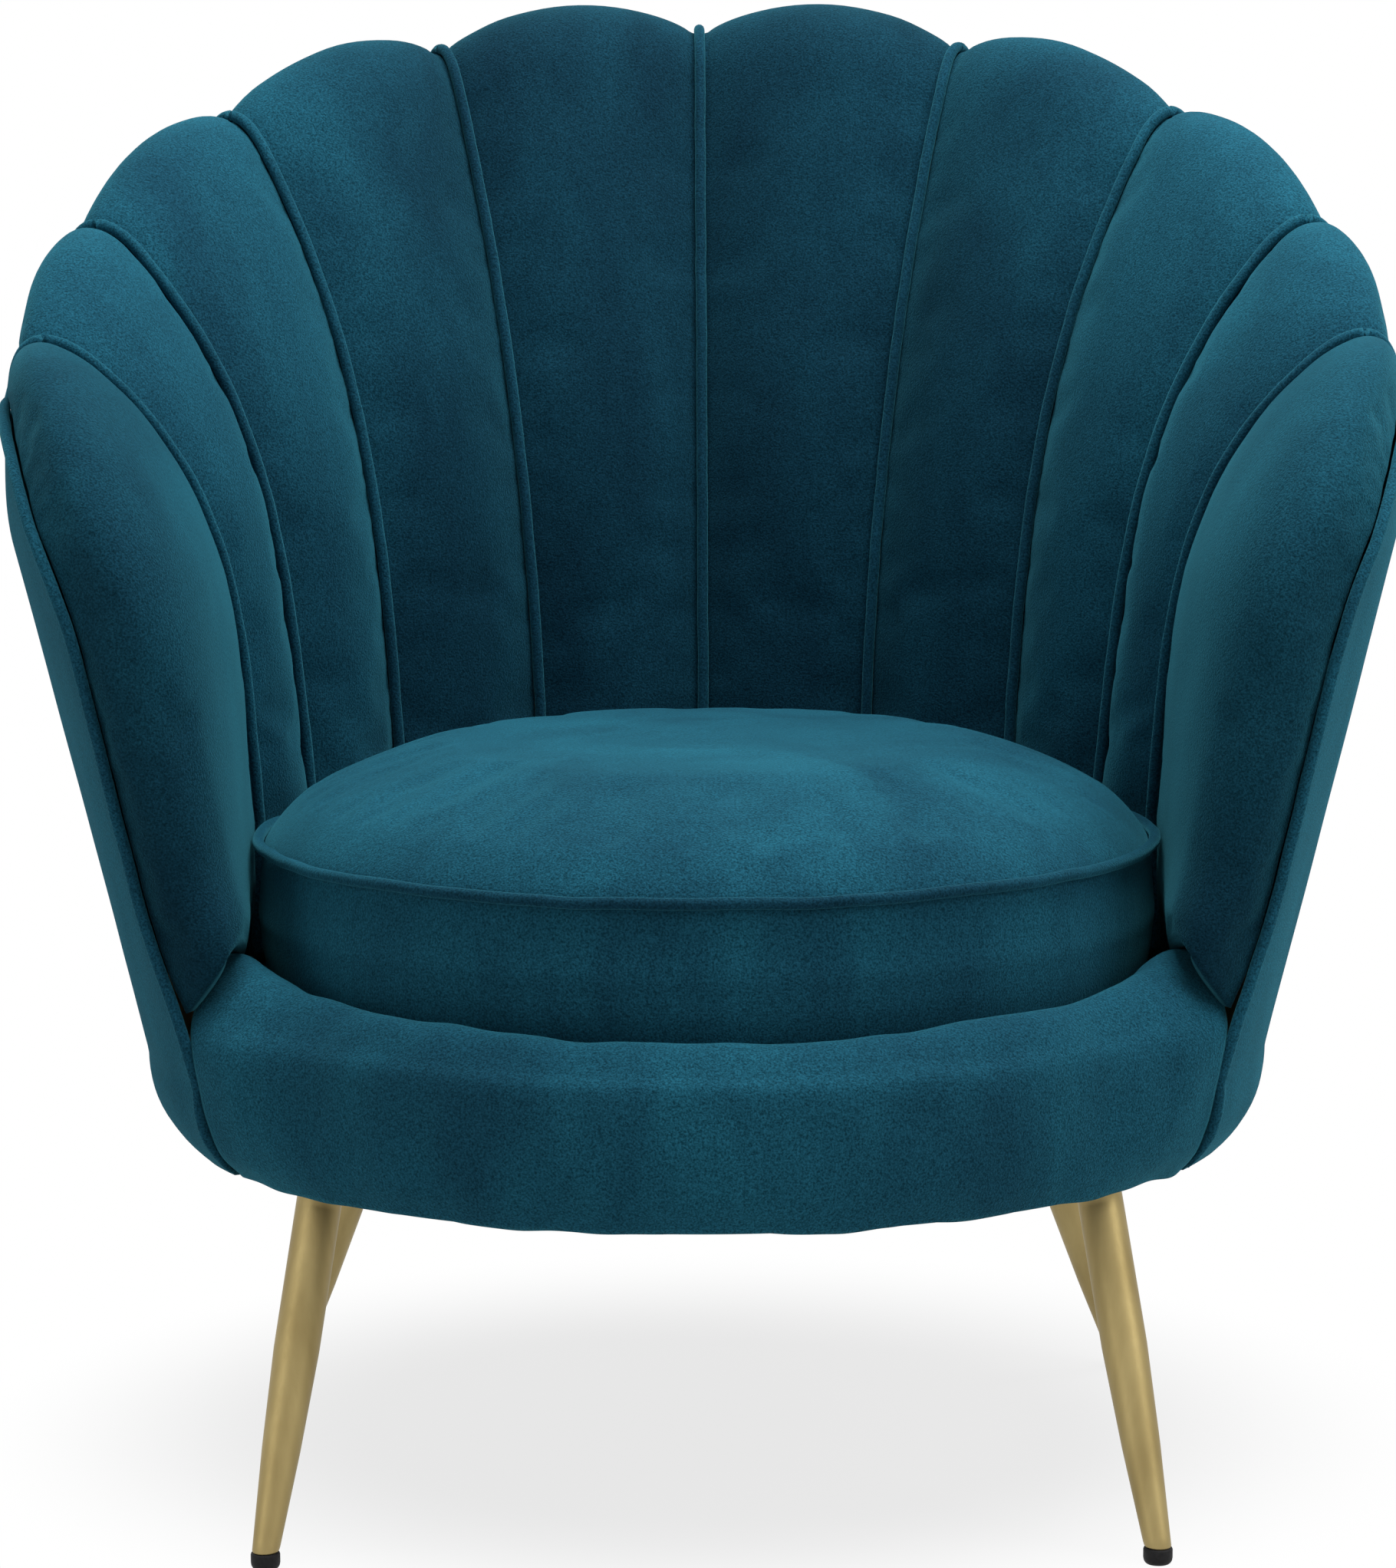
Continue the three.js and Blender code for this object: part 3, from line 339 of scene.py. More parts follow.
def swollen(points, faces, held, slack, cap, bending):
    """Points of a padded cover after its cloth is blown up by its filling. held is 1 where the cloth is sewn
    down and 0 where it is free, slack the share of extra cloth, and cap how far a point may move."""
    scene = bpy.context.scene
    shape, start = points.shape, points.reshape(-1, 3)
    obj = mesh_object("loose", start, faces)
    group = obj.vertex_groups.new(name="held")
    for index, weight in enumerate(held.reshape(-1)):
        if weight > HELD_LIMIT:
            group.add([index], float(weight), "REPLACE")
    cloth = obj.modifiers.new("cloth", "CLOTH")
    for key, value in {**CLOTH_SETTINGS, "bending_stiffness": bending, "shrink_min": -slack}.items():
        setattr(cloth.settings, key, value)
    cloth.settings.effector_weights.gravity = 0
    cloth.point_cache.frame_start, cloth.point_cache.frame_end = 1, SIM_FRAMES
    for step in range(1, SIM_FRAMES + 1):
        scene.frame_set(step)
    moved, _ = evaluated(obj)
    scene.frame_set(1)
    bpy.data.objects.remove(obj)
    shift = moved - start
    length = np.linalg.norm(shift, axis=1, keepdims=True)
    shift = shift * np.minimum(1, cap / np.maximum(length, 1e-9))
    return (start + shift).reshape(shape)


# The shell, as in the frame
def rim_height(angle):
    turn = 1 - np.cos(angle)
    share = (1 - LATE_DROP_SHARE) * turn ** DROP_POWER + LATE_DROP_SHARE * turn ** LATE_DROP_POWER
    return RIM_BACK_HEIGHT - RIM_DROP * share


def edge_height(rim_angle):
    return rim_height(rim_angle) - mix(EDGE_DROP, rim_angle)


def meridian(seat_angle, rim_angle, share):
    """Radius, height, slope and angle of a meridian at each share of its length."""
    top = rim_height(rim_angle)
    roll_start = top - mix(ROLL_RISE, rim_angle)
    flare = mix(FLARE, rim_angle)
    power = mix(FLARE_POWER, rim_angle)
    edge_radius = mix(EDGE_RADIUS, rim_angle)
    edge = edge_height(rim_angle)
    start_radius = INNER_RADIUS + flare
    lean = flare * power / (roll_start - PIPING_HEIGHT)
    roll_in = mix(ROLL_IN, rim_angle) / np.hypot(lean, 1)
    roll_out = mix(ROLL_OUT, rim_angle)
    height = lerp(PAD_FOOT, roll_start, np.minimum(1, share / INNER_FACE_SHARE))
    climb = np.maximum(0, (height - PIPING_HEIGHT) / (roll_start - PIPING_HEIGHT))
    rolled = np.clip((share - INNER_FACE_SHARE) / (1 - INNER_FACE_SHARE), 0, 1)
    radii = (start_radius, start_radius + lean * roll_in, edge_radius, edge_radius)
    heights = (roll_start, roll_start + roll_in, edge + roll_out, edge + RIM_SEAM_OFFSET)
    on_roll = share >= INNER_FACE_SHARE
    radius = np.where(on_roll, bezier(*radii, rolled), INNER_RADIUS + flare * climb ** power)
    height = np.where(on_roll, bezier(*heights, rolled), height)
    slope_r = np.where(on_roll, bezier_slope(*radii, rolled), lean * climb ** (power - 1))
    slope_z = np.where(on_roll, bezier_slope(*heights, rolled), 1.0)
    length = np.hypot(slope_r, slope_z)
    angle = lerp(seat_angle, rim_angle, climb)
    return radius, height, slope_r / length, slope_z / length, angle


def shell_point(seat_angle, rim_angle, share, lift=0.0):
    radius, height, slope_r, slope_z, angle = meridian(seat_angle, rim_angle, share)
    return around(angle, radius - slope_z * lift, height + slope_r * lift)


def crown_height(share, rim_angle):
    middle_crown = mix(CROWN_AT_MIDDLE, rim_angle)
    rim_crown = mix(CROWN_AT_RIM, rim_angle)
    level = CROWN_AT_SEAT + 0 * middle_crown
    heights = [level, level, middle_crown, middle_crown, rim_crown, CROWN_AT_EDGE, CROWN_AT_EDGE]
    stops = CROWN_STOP_SHARES
    result = heights[0] + 0 * share
    for index in range(1, len(stops)):
        blend = smoothstep(share, stops[index - 1], stops[index])
        result = np.where(share >= stops[index - 1], lerp(heights[index - 1], heights[index], blend), result)
    return result


# Channels of the back and arms
PAD_ROWS, PAD_COLUMNS = 96, 33
SEAM_TUCK = 0.0040
SEAM_TUCK_WIDTH_SHARE = 0.05
PUCKER_WIDTH_SHARE = 3 * SEAM_TUCK_WIDTH_SHARE
SEAM_INSET = WELT_RADIUS * 0.8
PUCKER_HEIGHT = 0.0009
PUCKER_LENGTH = 0.024
SWELL_HEIGHT = 0.0012
SWELL_LENGTH = 0.075


def to_edge(share):
    return np.minimum(share, 1 - share)


def edge_share(across):
    """1 at both long edges of a pad, 0 away from them."""
    return np.exp(-to_edge(across) / SEAM_TUCK_WIDTH_SHARE)


def padding_ripple(points, across, seed):
    """Small swells of the filling, and puckers where the cloth is drawn into the seams."""
    near_seam = np.exp(-to_edge(across) / PUCKER_WIDTH_SHARE)
    swell = ripple(points, SWELL_LENGTH, seed) * SWELL_HEIGHT * (1 - edge_share(across))
    pucker = ripple(points, PUCKER_LENGTH, seed + 5) * PUCKER_HEIGHT * near_seam
    return swell + pucker


def channel_rows():
    inner = np.linspace(0, INNER_FACE_SHARE, PAD_ROWS * 2 // 3, endpoint=False)
    roll = np.linspace(INNER_FACE_SHARE, 1, PAD_ROWS // 3)
    return np.concatenate([inner, roll])


def channel_pad(number):
    """Front and back grid of one of the four full channels of the right side."""
    across = eased(PAD_COLUMNS)[None, :]
    share = channel_rows()[:, None]
    seat_inset, rim_inset = SEAM_INSET / INNER_RADIUS, SEAM_INSET / EDGE_RADIUS_BACK
    seat = lerp(SEAM_SEAT_ANGLES[number - 1] + seat_inset, SEAM_SEAT_ANGLES[number] - seat_inset, across)
    rim = lerp(SEAM_RIM_ANGLES[number - 1] + rim_inset, SEAM_RIM_ANGLES[number] - rim_inset, across)
    power = lerp(CROWN_FLAT_POWER, RIM_FLAT_POWER, smoothstep(share, *RIM_FLAT_STOPS))
    shape = 1 - np.abs(2 * across - 1) ** power
    lift = crown_height(share, rim) * shape - SEAM_TUCK * edge_share(across)
    flat = shell_point(seat, rim, share)
    lift = lift + padding_ripple(flat, across + 0 * share, number)
    front = shell_point(seat, rim, share, lift)
    back = shell_point(seat, rim, share, -PAD_THICKNESS + 0 * lift)
    return front, back


# Front edge and the nose of the arm
def cover_radius(height, rim_angle):
    """Radius of the outer cover at a height, below the edge of a meridian."""
    edge_radius, edge = mix(EDGE_RADIUS, rim_angle), edge_height(rim_angle)
    top = mix(CONE_TOP_RADIUS, rim_angle)
    low = (height - COVER_BOTTOM) / (CONE_BOTTOM - COVER_BOTTOM)
    foot = lerp(COVER_BOTTOM_RADIUS, CONE_BOTTOM_RADIUS, 1 - (1 - low) ** 2 * (1 - low / 2))
    cone_lean = (top - CONE_BOTTOM_RADIUS) / (CONE_TOP - CONE_BOTTOM)
    cone = CONE_BOTTOM_RADIUS + cone_lean * (height - CONE_BOTTOM)
    climb = (height - CONE_TOP) / (edge - CONE_TOP)
    chord_lean = (edge_radius - top) / (edge - CONE_TOP)
    upper = lerp(top, edge_radius, climb)
    upper = upper + (cone_lean - chord_lean) * (edge - CONE_TOP) * climb * (1 - climb) ** 2
    return np.where(height < CONE_BOTTOM, foot, np.where(height < CONE_TOP, cone, upper))


ARM_ANGLE = SEAM_RIM_ANGLES[4]
ARM_EDGE = float(edge_height(ARM_ANGLE))
FRONT_EDGE_RISE = ARM_EDGE - FRONT_EDGE_TOP
FRONT_EDGE_SWEEP = FRONT_EDGE_ANGLE - ARM_ANGLE


def foot_turn(height):
    """How far the front edge turns further to the front near its foot."""
    return FOOT_TURN * (1 - smoothstep(height, *FOOT_TURN_STOPS))


def front_edge(turn, offset, height=FRONT_EDGE_TOP):
    """A point of the front edge, level at the rim and straight down below turn = 90 degrees."""
    level = np.where(turn < math.pi / 2 - 1e-9,
                     FRONT_EDGE_TOP + (FRONT_EDGE_RISE + offset) * np.cos(turn), height)
    radius = cover_radius(np.minimum(level, ARM_EDGE), ARM_ANGLE)
    angle = ARM_ANGLE + (FRONT_EDGE_SWEEP + foot_turn(level) + offset / radius) * np.sin(turn)
    return around(angle, radius, level)


NOSE_EDGE_OFFSET = WELT_RADIUS * 0.9
NOSE_START = NOSE_EDGE_OFFSET / (INNER_RADIUS + FLARE[1])
STRAIGHT_LENGTH = FRONT_EDGE_TOP - NOSE_FOOT
CURVED_LENGTH = (FRONT_EDGE_RISE + FRONT_EDGE_SWEEP * EDGE_RADIUS_ARM) * math.pi / 4
STRAIGHT_SHARE = STRAIGHT_LENGTH / (STRAIGHT_LENGTH + CURVED_LENGTH)
NOSE_ROWS, NOSE_COLUMNS = 96, 49
NOSE_TUCK = 0.0035
NOSE_FOOT_TUCK, NOSE_FOOT_TUCK_SHARE, NOSE_FOOT_KEPT = 0.010, 0.06, 0.7
NOSE_GROOVE, NOSE_GROOVE_SHARE = 0.0008, 0.03


def nose_point(across, share):
    across, share = np.broadcast_arrays(across, share)
    seat, rim = SEAM_SEAT_ANGLES[4], SEAM_RIM_ANGLES[4]
    radius, height, slope_r, slope_z, angle = meridian(seat, rim, share)
    start = around(angle + NOSE_START, radius, height)
    lift = outward(angle) * -slope_z[..., None] + UP * slope_r[..., None]
    inward = INWARD_AT_SEAM_SHARE * (1 - smoothstep(share, *INWARD_FADE_STOPS))
    start_way = unit(forward(angle) + lift * inward[..., None])
    turned = (1 - share) / (1 - STRAIGHT_SHARE)
    turn = np.where(share < STRAIGHT_SHARE, math.pi / 2, math.pi / 2 * np.minimum(1, turned))
    level = lerp(NOSE_FOOT, FRONT_EDGE_TOP, np.minimum(1, share / STRAIGHT_SHARE))
    end = front_edge(turn, NOSE_EDGE_OFFSET, level)
    end_angle = angle_of(end)
    end_way = forward(end_angle) * np.sin(turn)[..., None] + np.cos(turn)[..., None] * UP
    end_way = unit(end_way - outward(end_angle) * (INWARD_AT_EDGE_SHARE * np.sin(turn))[..., None])
    chord = np.linalg.norm(end - start, axis=-1, keepdims=True)
    first = start + start_way * chord * NOSE_REACH_SHARE
    second = end + end_way * chord * NOSE_RETURN_SHARE
    point = bezier(start, first, second, end, across[..., None])
    hump = NOSE_LIFT * np.sin(math.pi * across ** NOSE_LIFT_SKEW) * (1 - share) ** NOSE_LIFT_POWER
    point[..., 2] += hump
    return point


def nose_normal(across, share, step=0.02):
    sideways = nose_point(np.minimum(1, across + step), share) - nose_point(np.maximum(0, across - step), share)
    upwards = (nose_point(across, np.minimum(1 - step, share + step))
               - nose_point(across, np.maximum(0, share - step)))
    return unit(np.cross(sideways, upwards))


def nose_pad():
    across = eased(NOSE_COLUMNS)[None, :]
    share = np.linspace(0, NOSE_TOP_SHARE, NOSE_ROWS)[:, None]
    across, share = np.broadcast_arrays(across, share)
    flat = nose_point(across, share)
    normal = nose_normal(across, share)
    lift = padding_ripple(flat, across, 9) - NOSE_TUCK * edge_share(across)
    lift = lift - NOSE_GROOVE * np.exp((across - 1) / NOSE_GROOVE_SHARE)
    foot = NOSE_FOOT_TUCK * (1 - NOSE_FOOT_KEPT * across)
    lift = lift - foot * (1 - np.minimum(1, share / NOSE_FOOT_TUCK_SHARE)) ** 2
    front = flat + normal * lift[..., None]
    back = flat - normal * PAD_THICKNESS
    return front, back


CHANNEL_SIDE_HOLD, CHANNEL_END_HOLD = 0.1, 0.03
CHANNEL_INSET, CHANNEL_CAP, CHANNEL_SLACK = 0.0010, 0.0030, 0.004


def padded_channel(front, back):
    """Rings of a pad, its front blown up between its seams."""
    rings = sheet_body(front, back)
    count = front.shape[1]
    across = np.linspace(0, 1, count)[None, :]
    along = np.linspace(0, 1, len(front))[:, None]
    free = smoothstep(to_edge(across), 0, CHANNEL_SIDE_HOLD) * smoothstep(to_edge(along), 0, CHANNEL_END_HOLD)
    held = np.ones(rings.shape[:2])
    held[:, :count] = 1 - free
    normal = unit(np.cross(np.gradient(front, axis=1), np.gradient(front, axis=0)))
    start = rings.copy()
    start[:, :count] -= normal * (CHANNEL_INSET * free)[..., None]
    return swollen(start, loft(start, "strip"), held, CHANNEL_SLACK, CHANNEL_CAP, CHANNEL_BENDING)


def make_channels():
    grids = [channel_pad(number) for number in (1, 2, 3, 4)] + [nose_pad()]
    bodies = [padded_channel(front, back) for front, back in grids]
    for side_name, side in SIDES:
        for index, rings in enumerate(bodies, start=1):
            if side < 0:
                rings = mirrored(rings)
            name = f"channel_{side_name}_{index}"
            # The back pads and noses take copies of the velvet with painted shade.
            look = "nose_velvet_painted_shade" if index == len(bodies) else "back_velvet_painted_shade"
            pad = piece(name, rings, look, [f"channel_pad_{side_name}_{index}"], "strip")


# Cords in the seams
SEAM_END_SHARE = 0.985
SEAM_POINTS = 110
SEAM_SINK = 0.0010
RIM_SINK = 0.0012
RIM_SINK_STOPS = (0.78, 0.92)
NOSE_SEAM_LIFT = 0.0030
NOSE_SEAM_LIFT_UP, NOSE_SEAM_LIFT_DOWN = (0.02, 0.15), (0.6, 0.95)
CORD_WAVE = 0.0004
CORD_WAVE_LENGTH = 0.03
CORD_TIP_SHARE = 0.35


def wavy(path, seed):
    shift = [ripple(path, CORD_WAVE_LENGTH, seed + k) for k in range(3)]
    return path + CORD_WAVE * np.stack(shift, axis=-1)


def make_seam_cords():
    share = np.linspace(0, SEAM_END_SHARE, SEAM_POINTS)
    sink = SEAM_SINK + RIM_SINK * smoothstep(share, *RIM_SINK_STOPS)
    nose_lift = NOSE_SEAM_LIFT * smoothstep(share, *NOSE_SEAM_LIFT_UP)
    nose_lift = nose_lift * (1 - smoothstep(share, *NOSE_SEAM_LIFT_DOWN))
    for index, (seat, rim) in enumerate(zip(SEAM_SEAT_ANGLES, SEAM_RIM_ANGLES)):
        path = shell_point(seat, rim, share, (nose_lift if index == 4 else 0) - sink)
        for side_name, side in SIDES if index else (("centre", 1),):
            name = f"seam_welt_{side_name}_{index}" if index else "seam_welt_centre"
            placed = wavy(mirrored(path) if side < 0 else path, index)
            rings = cord_rings(placed, WELT_RADIUS)
            piece(f"piping_{name}", rings, "piping", [name])


EDGE_CORD_LIFT = 0.0005
EDGE_CORD_FORWARD = 0.0016
EDGE_CORD_START = COVER_BOTTOM + 0.004
EDGE_FRONT_POINTS, EDGE_RIM_POINTS = 60, 120


def edge_path():
    """The line of the long cord: up the right arm's front, round the rim and down the left arm."""
    heights = np.linspace(EDGE_CORD_START, FRONT_EDGE_TOP, EDGE_FRONT_POINTS)
    straight = front_edge(np.full(EDGE_FRONT_POINTS, math.pi / 2), EDGE_CORD_FORWARD, heights)
    turns = math.pi / 2 * (1 - np.linspace(0, 1, EDGE_FRONT_POINTS)[1:])
    curve = front_edge(turns, EDGE_CORD_FORWARD * np.sin(turns))
    angles = ARM_ANGLE * (1 - np.linspace(0, 1, EDGE_RIM_POINTS)[1:])
    rim = around(angles, mix(EDGE_RADIUS, angles), edge_height(angles))
    right = np.concatenate([straight, curve, rim])
    return np.concatenate([right, mirrored(right)[::-1][1:]])


def make_edge_cord():
    path = wavy(edge_path(), 20)
    end = np.minimum(np.arange(len(path)), np.arange(len(path))[::-1])
    path = path + outward(angle_of(path)) * EDGE_CORD_LIFT
    rings = cord_rings(path, WELT_RADIUS * np.interp(end, [0, 4], [CORD_TIP_SHARE, 1]))
    piece("piping_edge", rings, "piping", ["edge_welt"])


# Outer cover
COVER_FRONT_LINES, COVER_BACK_LINES, COVER_ROWS = 40, 70, 90
COVER_WAVE, COVER_WAVE_LENGTH, COVER_WAVE_STRETCH = 0.0009, 0.05, 0.35


def make_outer_cover():
    turns = math.pi / 2 * np.linspace(1, 0, COVER_FRONT_LINES)[:-1]
    edge = front_edge(turns, -FRONT_SEAM_GAP)
    front_angles = angle_of(edge)
    back_angles = ARM_ANGLE * np.linspace(1, 0, COVER_BACK_LINES)
    angles = np.concatenate([front_angles, back_angles])
    tops = np.concatenate([edge[:, 2], edge_height(back_angles) - RIM_SEAM_OFFSET])
    lines = np.minimum(angles, ARM_ANGLE)
    angles, tops, lines = (np.concatenate([half, sign * half[::-1][1:]])
                           for half, sign in ((angles, -1), (tops, 1), (lines, -1)))
    rows = np.linspace(0, 1, COVER_ROWS)[None, :]
    height = lerp(COVER_BOTTOM, tops[:, None], rows)
    radius = cover_radius(height, lines[:, None])
    turn_share = np.maximum(0, np.abs(angles) - ARM_ANGLE) / FRONT_EDGE_SWEEP * np.sign(angles)
    angles = angles[:, None] + foot_turn(height) * turn_share[:, None]
    outer = around(angles, radius, height)
    tension = ripple(outer * (1, 1, COVER_WAVE_STRETCH), COVER_WAVE_LENGTH, 31) * COVER_WAVE
    outer = outer + outward(angles) * tension[..., None]
    inner = around(angles, radius - COVER_THICKNESS, height)
    piece("outside_cover", sheet_body(outer, inner), "velvet", ["outer_cover"], "strip")


# Front band of the base
BAND_RINGS, BAND_OUTER_POINTS = 200, 44
BAND_STILL_POINTS, BAND_LEVEL_POINTS = 2, 6
BAND_END_GAP = 0.0054
BAND_WAVE = 0.0016
BAND_EDGE_WAVE = 0.0026
BAND_WAVE_LENGTH, BAND_EDGE_WAVE_LENGTH, BAND_EDGE_WAVE_STRETCH = 0.04, 0.055, 0.2
BAND_EDGE_STOPS = (0.02, 0.05)
BAND_SEAT_GAP = 0.0006
BAND_RING_RADIUS, BAND_FOOT_RADIUS, BAND_FOOT_TOP = 0.2875, 0.2955, 0.2175
BAND_LOWER = ((0, 0), (0.65, 0.3), (1, 0.75))
BAND_ROLL = ((0.03, 0.1), (0.2, 0.5), (0.42, 0.87), (0.64, 1), (0.86, 0.86), (1, 0.5))


def band_section(from_end):
    """Outline of the band's cross-section, as rows of radius, height and share inwards, from its foot round
    the roll to the inside, then back along its wall on the rings."""
    top = BAND_TOP_FRONT + BAND_RISE_ARM * (1 - from_end) + BAND_RISE_END * math.exp(-from_end / BAND_FADE_SHARE)
    spread = 1 - smoothstep(from_end, 0, BAND_SPREAD_SHARE)

    def spread_to(radius, height):
        return lerp(radius, float(cover_radius(height, ARM_ANGLE)) - BAND_COVER_GAP, spread)

    outside = []
    for out, up in BAND_LOWER:
        height = lerp(COVER_BOTTOM, SEAT_RING_BOTTOM, up)
        outside.append((spread_to(lerp(BAND_BOTTOM_RADIUS, BAND_BULGE_RADIUS, out), height), height, 0))
    for inward, up in BAND_ROLL:
        height = lerp(SEAT_RING_TOP, top, up)
        outside.append((lerp(spread_to(BAND_BULGE_RADIUS, height), BAND_INNER_RADIUS, inward), height, inward))
    seat = SEAT_RING_TOP + BAND_SEAT_GAP
    outside.append((BAND_INNER_RADIUS, seat, 1))
    inside = np.array([(BAND_RING_RADIUS, seat, 0), (BAND_RING_RADIUS, SEAT_RING_BOTTOM, 0),
                       (BAND_FOOT_RADIUS, BAND_FOOT_TOP, 0), (BAND_FOOT_RADIUS, COVER_BOTTOM, 0)])
    return np.concatenate([catmull(outside, BAND_OUTER_POINTS), inside])


def make_base_band():
    along = np.linspace(-1, 1, BAND_RINGS)[:, None]
    section = np.stack([band_section(1 - abs(share)) for share in along[:, 0]])
    radius, height, inward = section[..., 0], section[..., 1], section[..., 2]
    outer_start = FRONT_EDGE_ANGLE + foot_turn(height) + BAND_END_GAP / COVER_BOTTOM_RADIUS
    start = lerp(outer_start, BAND_INNER_START, np.clip(inward / BAND_INNER_SHARE, 0, 1))
    angle = math.pi + (math.pi - start) * along
    rings = around(angle, radius, height)
    lift = ripple(rings, BAND_WAVE_LENGTH, 41) * BAND_WAVE
    lift[:, BAND_OUTER_POINTS - BAND_STILL_POINTS:] = 0
    rings = rings + outward(angle) * lift[..., None]
    stretched = rings * (1, 1, BAND_EDGE_WAVE_STRETCH)
    rise = ripple(stretched, BAND_EDGE_WAVE_LENGTH, 43) * BAND_EDGE_WAVE
    rise[:, BAND_OUTER_POINTS - BAND_LEVEL_POINTS:] = 0
    from_middle = np.abs(height - middle(COVER_BOTTOM, BAND_TOP_FRONT))
    rings[..., 2] += rise * smoothstep(from_middle, *BAND_EDGE_STOPS)
    band = piece("front_band", rings, "velvet", ["base_front_band"])


# Loose cushion, its outline as rows of radius and height
CUSHION_FOOT_LINE = ((0.0005, CUSHION_BOTTOM), (0.15, CUSHION_BOTTOM), (0.232, CUSHION_BOTTOM + 0.0004),
                     (0.2520, LOWER_WELT_HEIGHT - 0.0012))
CUSHION_SIDE_LINE = ((0.2530, LOWER_WELT_HEIGHT), (0.2575, 0.306), (0.2590, 0.327), (0.2575, 0.348),
                     (0.2550, PIPING_HEIGHT - 0.0005))
CUSHION_FOOT_ROWS, CUSHION_SIDE_ROWS, CUSHION_CROWN_ROWS = 24, 20, 44
CROWN_EDGE_SHARE = 0.985


def cushion_profile():
    crown_share = np.linspace(CROWN_EDGE_SHARE, 0.0, CUSHION_CROWN_ROWS)
    crown = np.stack([CUSHION_RADIUS * crown_share,
                      PIPING_HEIGHT + CUSHION_CROWN * (1 - crown_share ** CUSHION_CROWN_POWER)], axis=1)
    return np.concatenate([catmull(CUSHION_FOOT_LINE, CUSHION_FOOT_ROWS),
                           catmull(CUSHION_SIDE_LINE, CUSHION_SIDE_ROWS), crown])


CUSHION_VOXEL = 0.005
CUSHION_INSET, CUSHION_CAP, CUSHION_SLACK = 0.0010, 0.0035, 0.003
CUSHION_SEAM_REACH, CUSHION_FREE_REACH = 0.007, 0.045
CUSHION_FOOT_HOLD, CUSHION_TOP_BLEND = 0.012, 0.03
CUSHION_WAVE, CUSHION_WAVE_LENGTH = 0.0016, 0.09
CUSHION_CORD_WAVE, CUSHION_CORD_WAVE_LENGTH = 0.0022, 0.09
CUSHION_CORD_POINTS = 220


def cushion_rings():
    profile = cushion_profile()
    turn = full_turn(ROUND_SIDES)
    heights = np.broadcast_to(profile[:, 1], (ROUND_SIDES, len(profile)))
    points = around(turn[:, None], profile[None, :, 0], heights)
    radial = radius_of(points)
    lift = ripple(points, CUSHION_WAVE_LENGTH, 51) * CUSHION_WAVE
    points[..., 2] += np.where(points[..., 2] > PIPING_HEIGHT, lift * (1 - radial / CUSHION_RADIUS), 0)
    return points.transpose(1, 0, 2)[1:-1]


def simulated_cushion(rings):
    """The cushion remeshed evenly, drawn in a little and blown up again between its two corded seams."""
    points, faces = voxel_remeshed(rings, loft(rings), CUSHION_VOXEL)
    radial = radius_of(points)
    away = np.full(len(points), 1.0)
    for radius, height in ((CUSHION_RADIUS, PIPING_HEIGHT), (LOWER_WELT_RADIUS, LOWER_WELT_HEIGHT)):
        away = np.minimum(away, np.hypot(radial - radius, points[:, 2] - height))
    free = smoothstep(away, CUSHION_SEAM_REACH, CUSHION_FREE_REACH)
    free = free * smoothstep(points[:, 2], CUSHION_BOTTOM, CUSHION_BOTTOM + CUSHION_FOOT_HOLD)
    top_share = smoothstep(points[:, 2], PIPING_HEIGHT, PIPING_HEIGHT + CUSHION_TOP_BLEND)
    inward = outward(angle_of(points)) * -(1 - top_share)[:, None]
    inward[:, 2] -= top_share
    start = points + inward * (CUSHION_INSET * free)[:, None]
    return swollen(start, faces, 1 - free, CUSHION_SLACK, CUSHION_CAP, CUSHION_BENDING), faces


def make_cushion():
    rings = cushion_rings()
    points, faces = simulated_cushion(rings)
    cushion = piece("seat_cushion_cover", points, "velvet", ["cushion_cover", "cushion_foam"],
                    body=BODY_CUSHION, faces=faces)
    smoother = cushion.modifiers.new("round", "SUBSURF")
    smoother.levels = smoother.render_levels = 1


def make_cushion_cords():
    turn = full_turn(CUSHION_CORD_POINTS)
    rows = (("upper", CUSHION_RADIUS + CUSHION_CORD_OFFSET, PIPING_HEIGHT),
            ("lower", LOWER_WELT_RADIUS + CUSHION_CORD_OFFSET, LOWER_WELT_HEIGHT))
    for name, radius, height in rows:
        path = wavy(around(turn, radius, height), 60)
        path[:, 2] += ripple(path, CUSHION_CORD_WAVE_LENGTH, 61) * CUSHION_CORD_WAVE
        rings = cord_rings(path, WELT_RADIUS, closed=True)
        piece(f"piping_cushion_{name}", rings, "piping", [f"cushion_welt_{name}"], "joined", BODY_CUSHION)


# Legs
def tilted_ring(centre, axis, radius, level_share, sides):
    """A ring round a leaning axis. level_share 1 lays it level, 0 leaves it square to the axis."""
    first = unit(np.array([axis[2], 0, -axis[0]]))
    second = np.cross(axis, first)
    turn = full_turn(sides)[:, None]
    spoke = np.cos(turn) * first + np.sin(turn) * second
    level = spoke - axis * (spoke[:, 2:] / axis[2])
    return centre + radius * lerp(spoke, level, level_share)


def flat_ring(x, y, radius, height, sides, axis):
    """A level round ring, its points in step with those of tilted_ring."""
    first = unit(np.array([axis[2], 0, -axis[0]]))
    start = math.atan2(first[1], first[0])
    turn = start + full_turn(sides)
    return np.stack([x + radius * np.cos(turn), y + radius * np.sin(turn), np.full(sides, height)], axis=1)


# The glide's face and rim as radius and height, and its plug as distance up the leg and radius
GLIDE_OUTLINE = ((0.0045, 0), (GLIDE_FACE_RADIUS, 0), (0.0070, 0.0006), (0.0077, 0.0018), (GLIDE_RADIUS, 0.0034),
                 (GLIDE_RADIUS, 0.0078), (0.0077, 0.0086), (0.0070, GLIDE_HEIGHT), (0.0055, GLIDE_HEIGHT))
GLIDE_PLUG = ((0.003, 0.0052), (0.0125, 0.0052), (0.013, 0.0046))


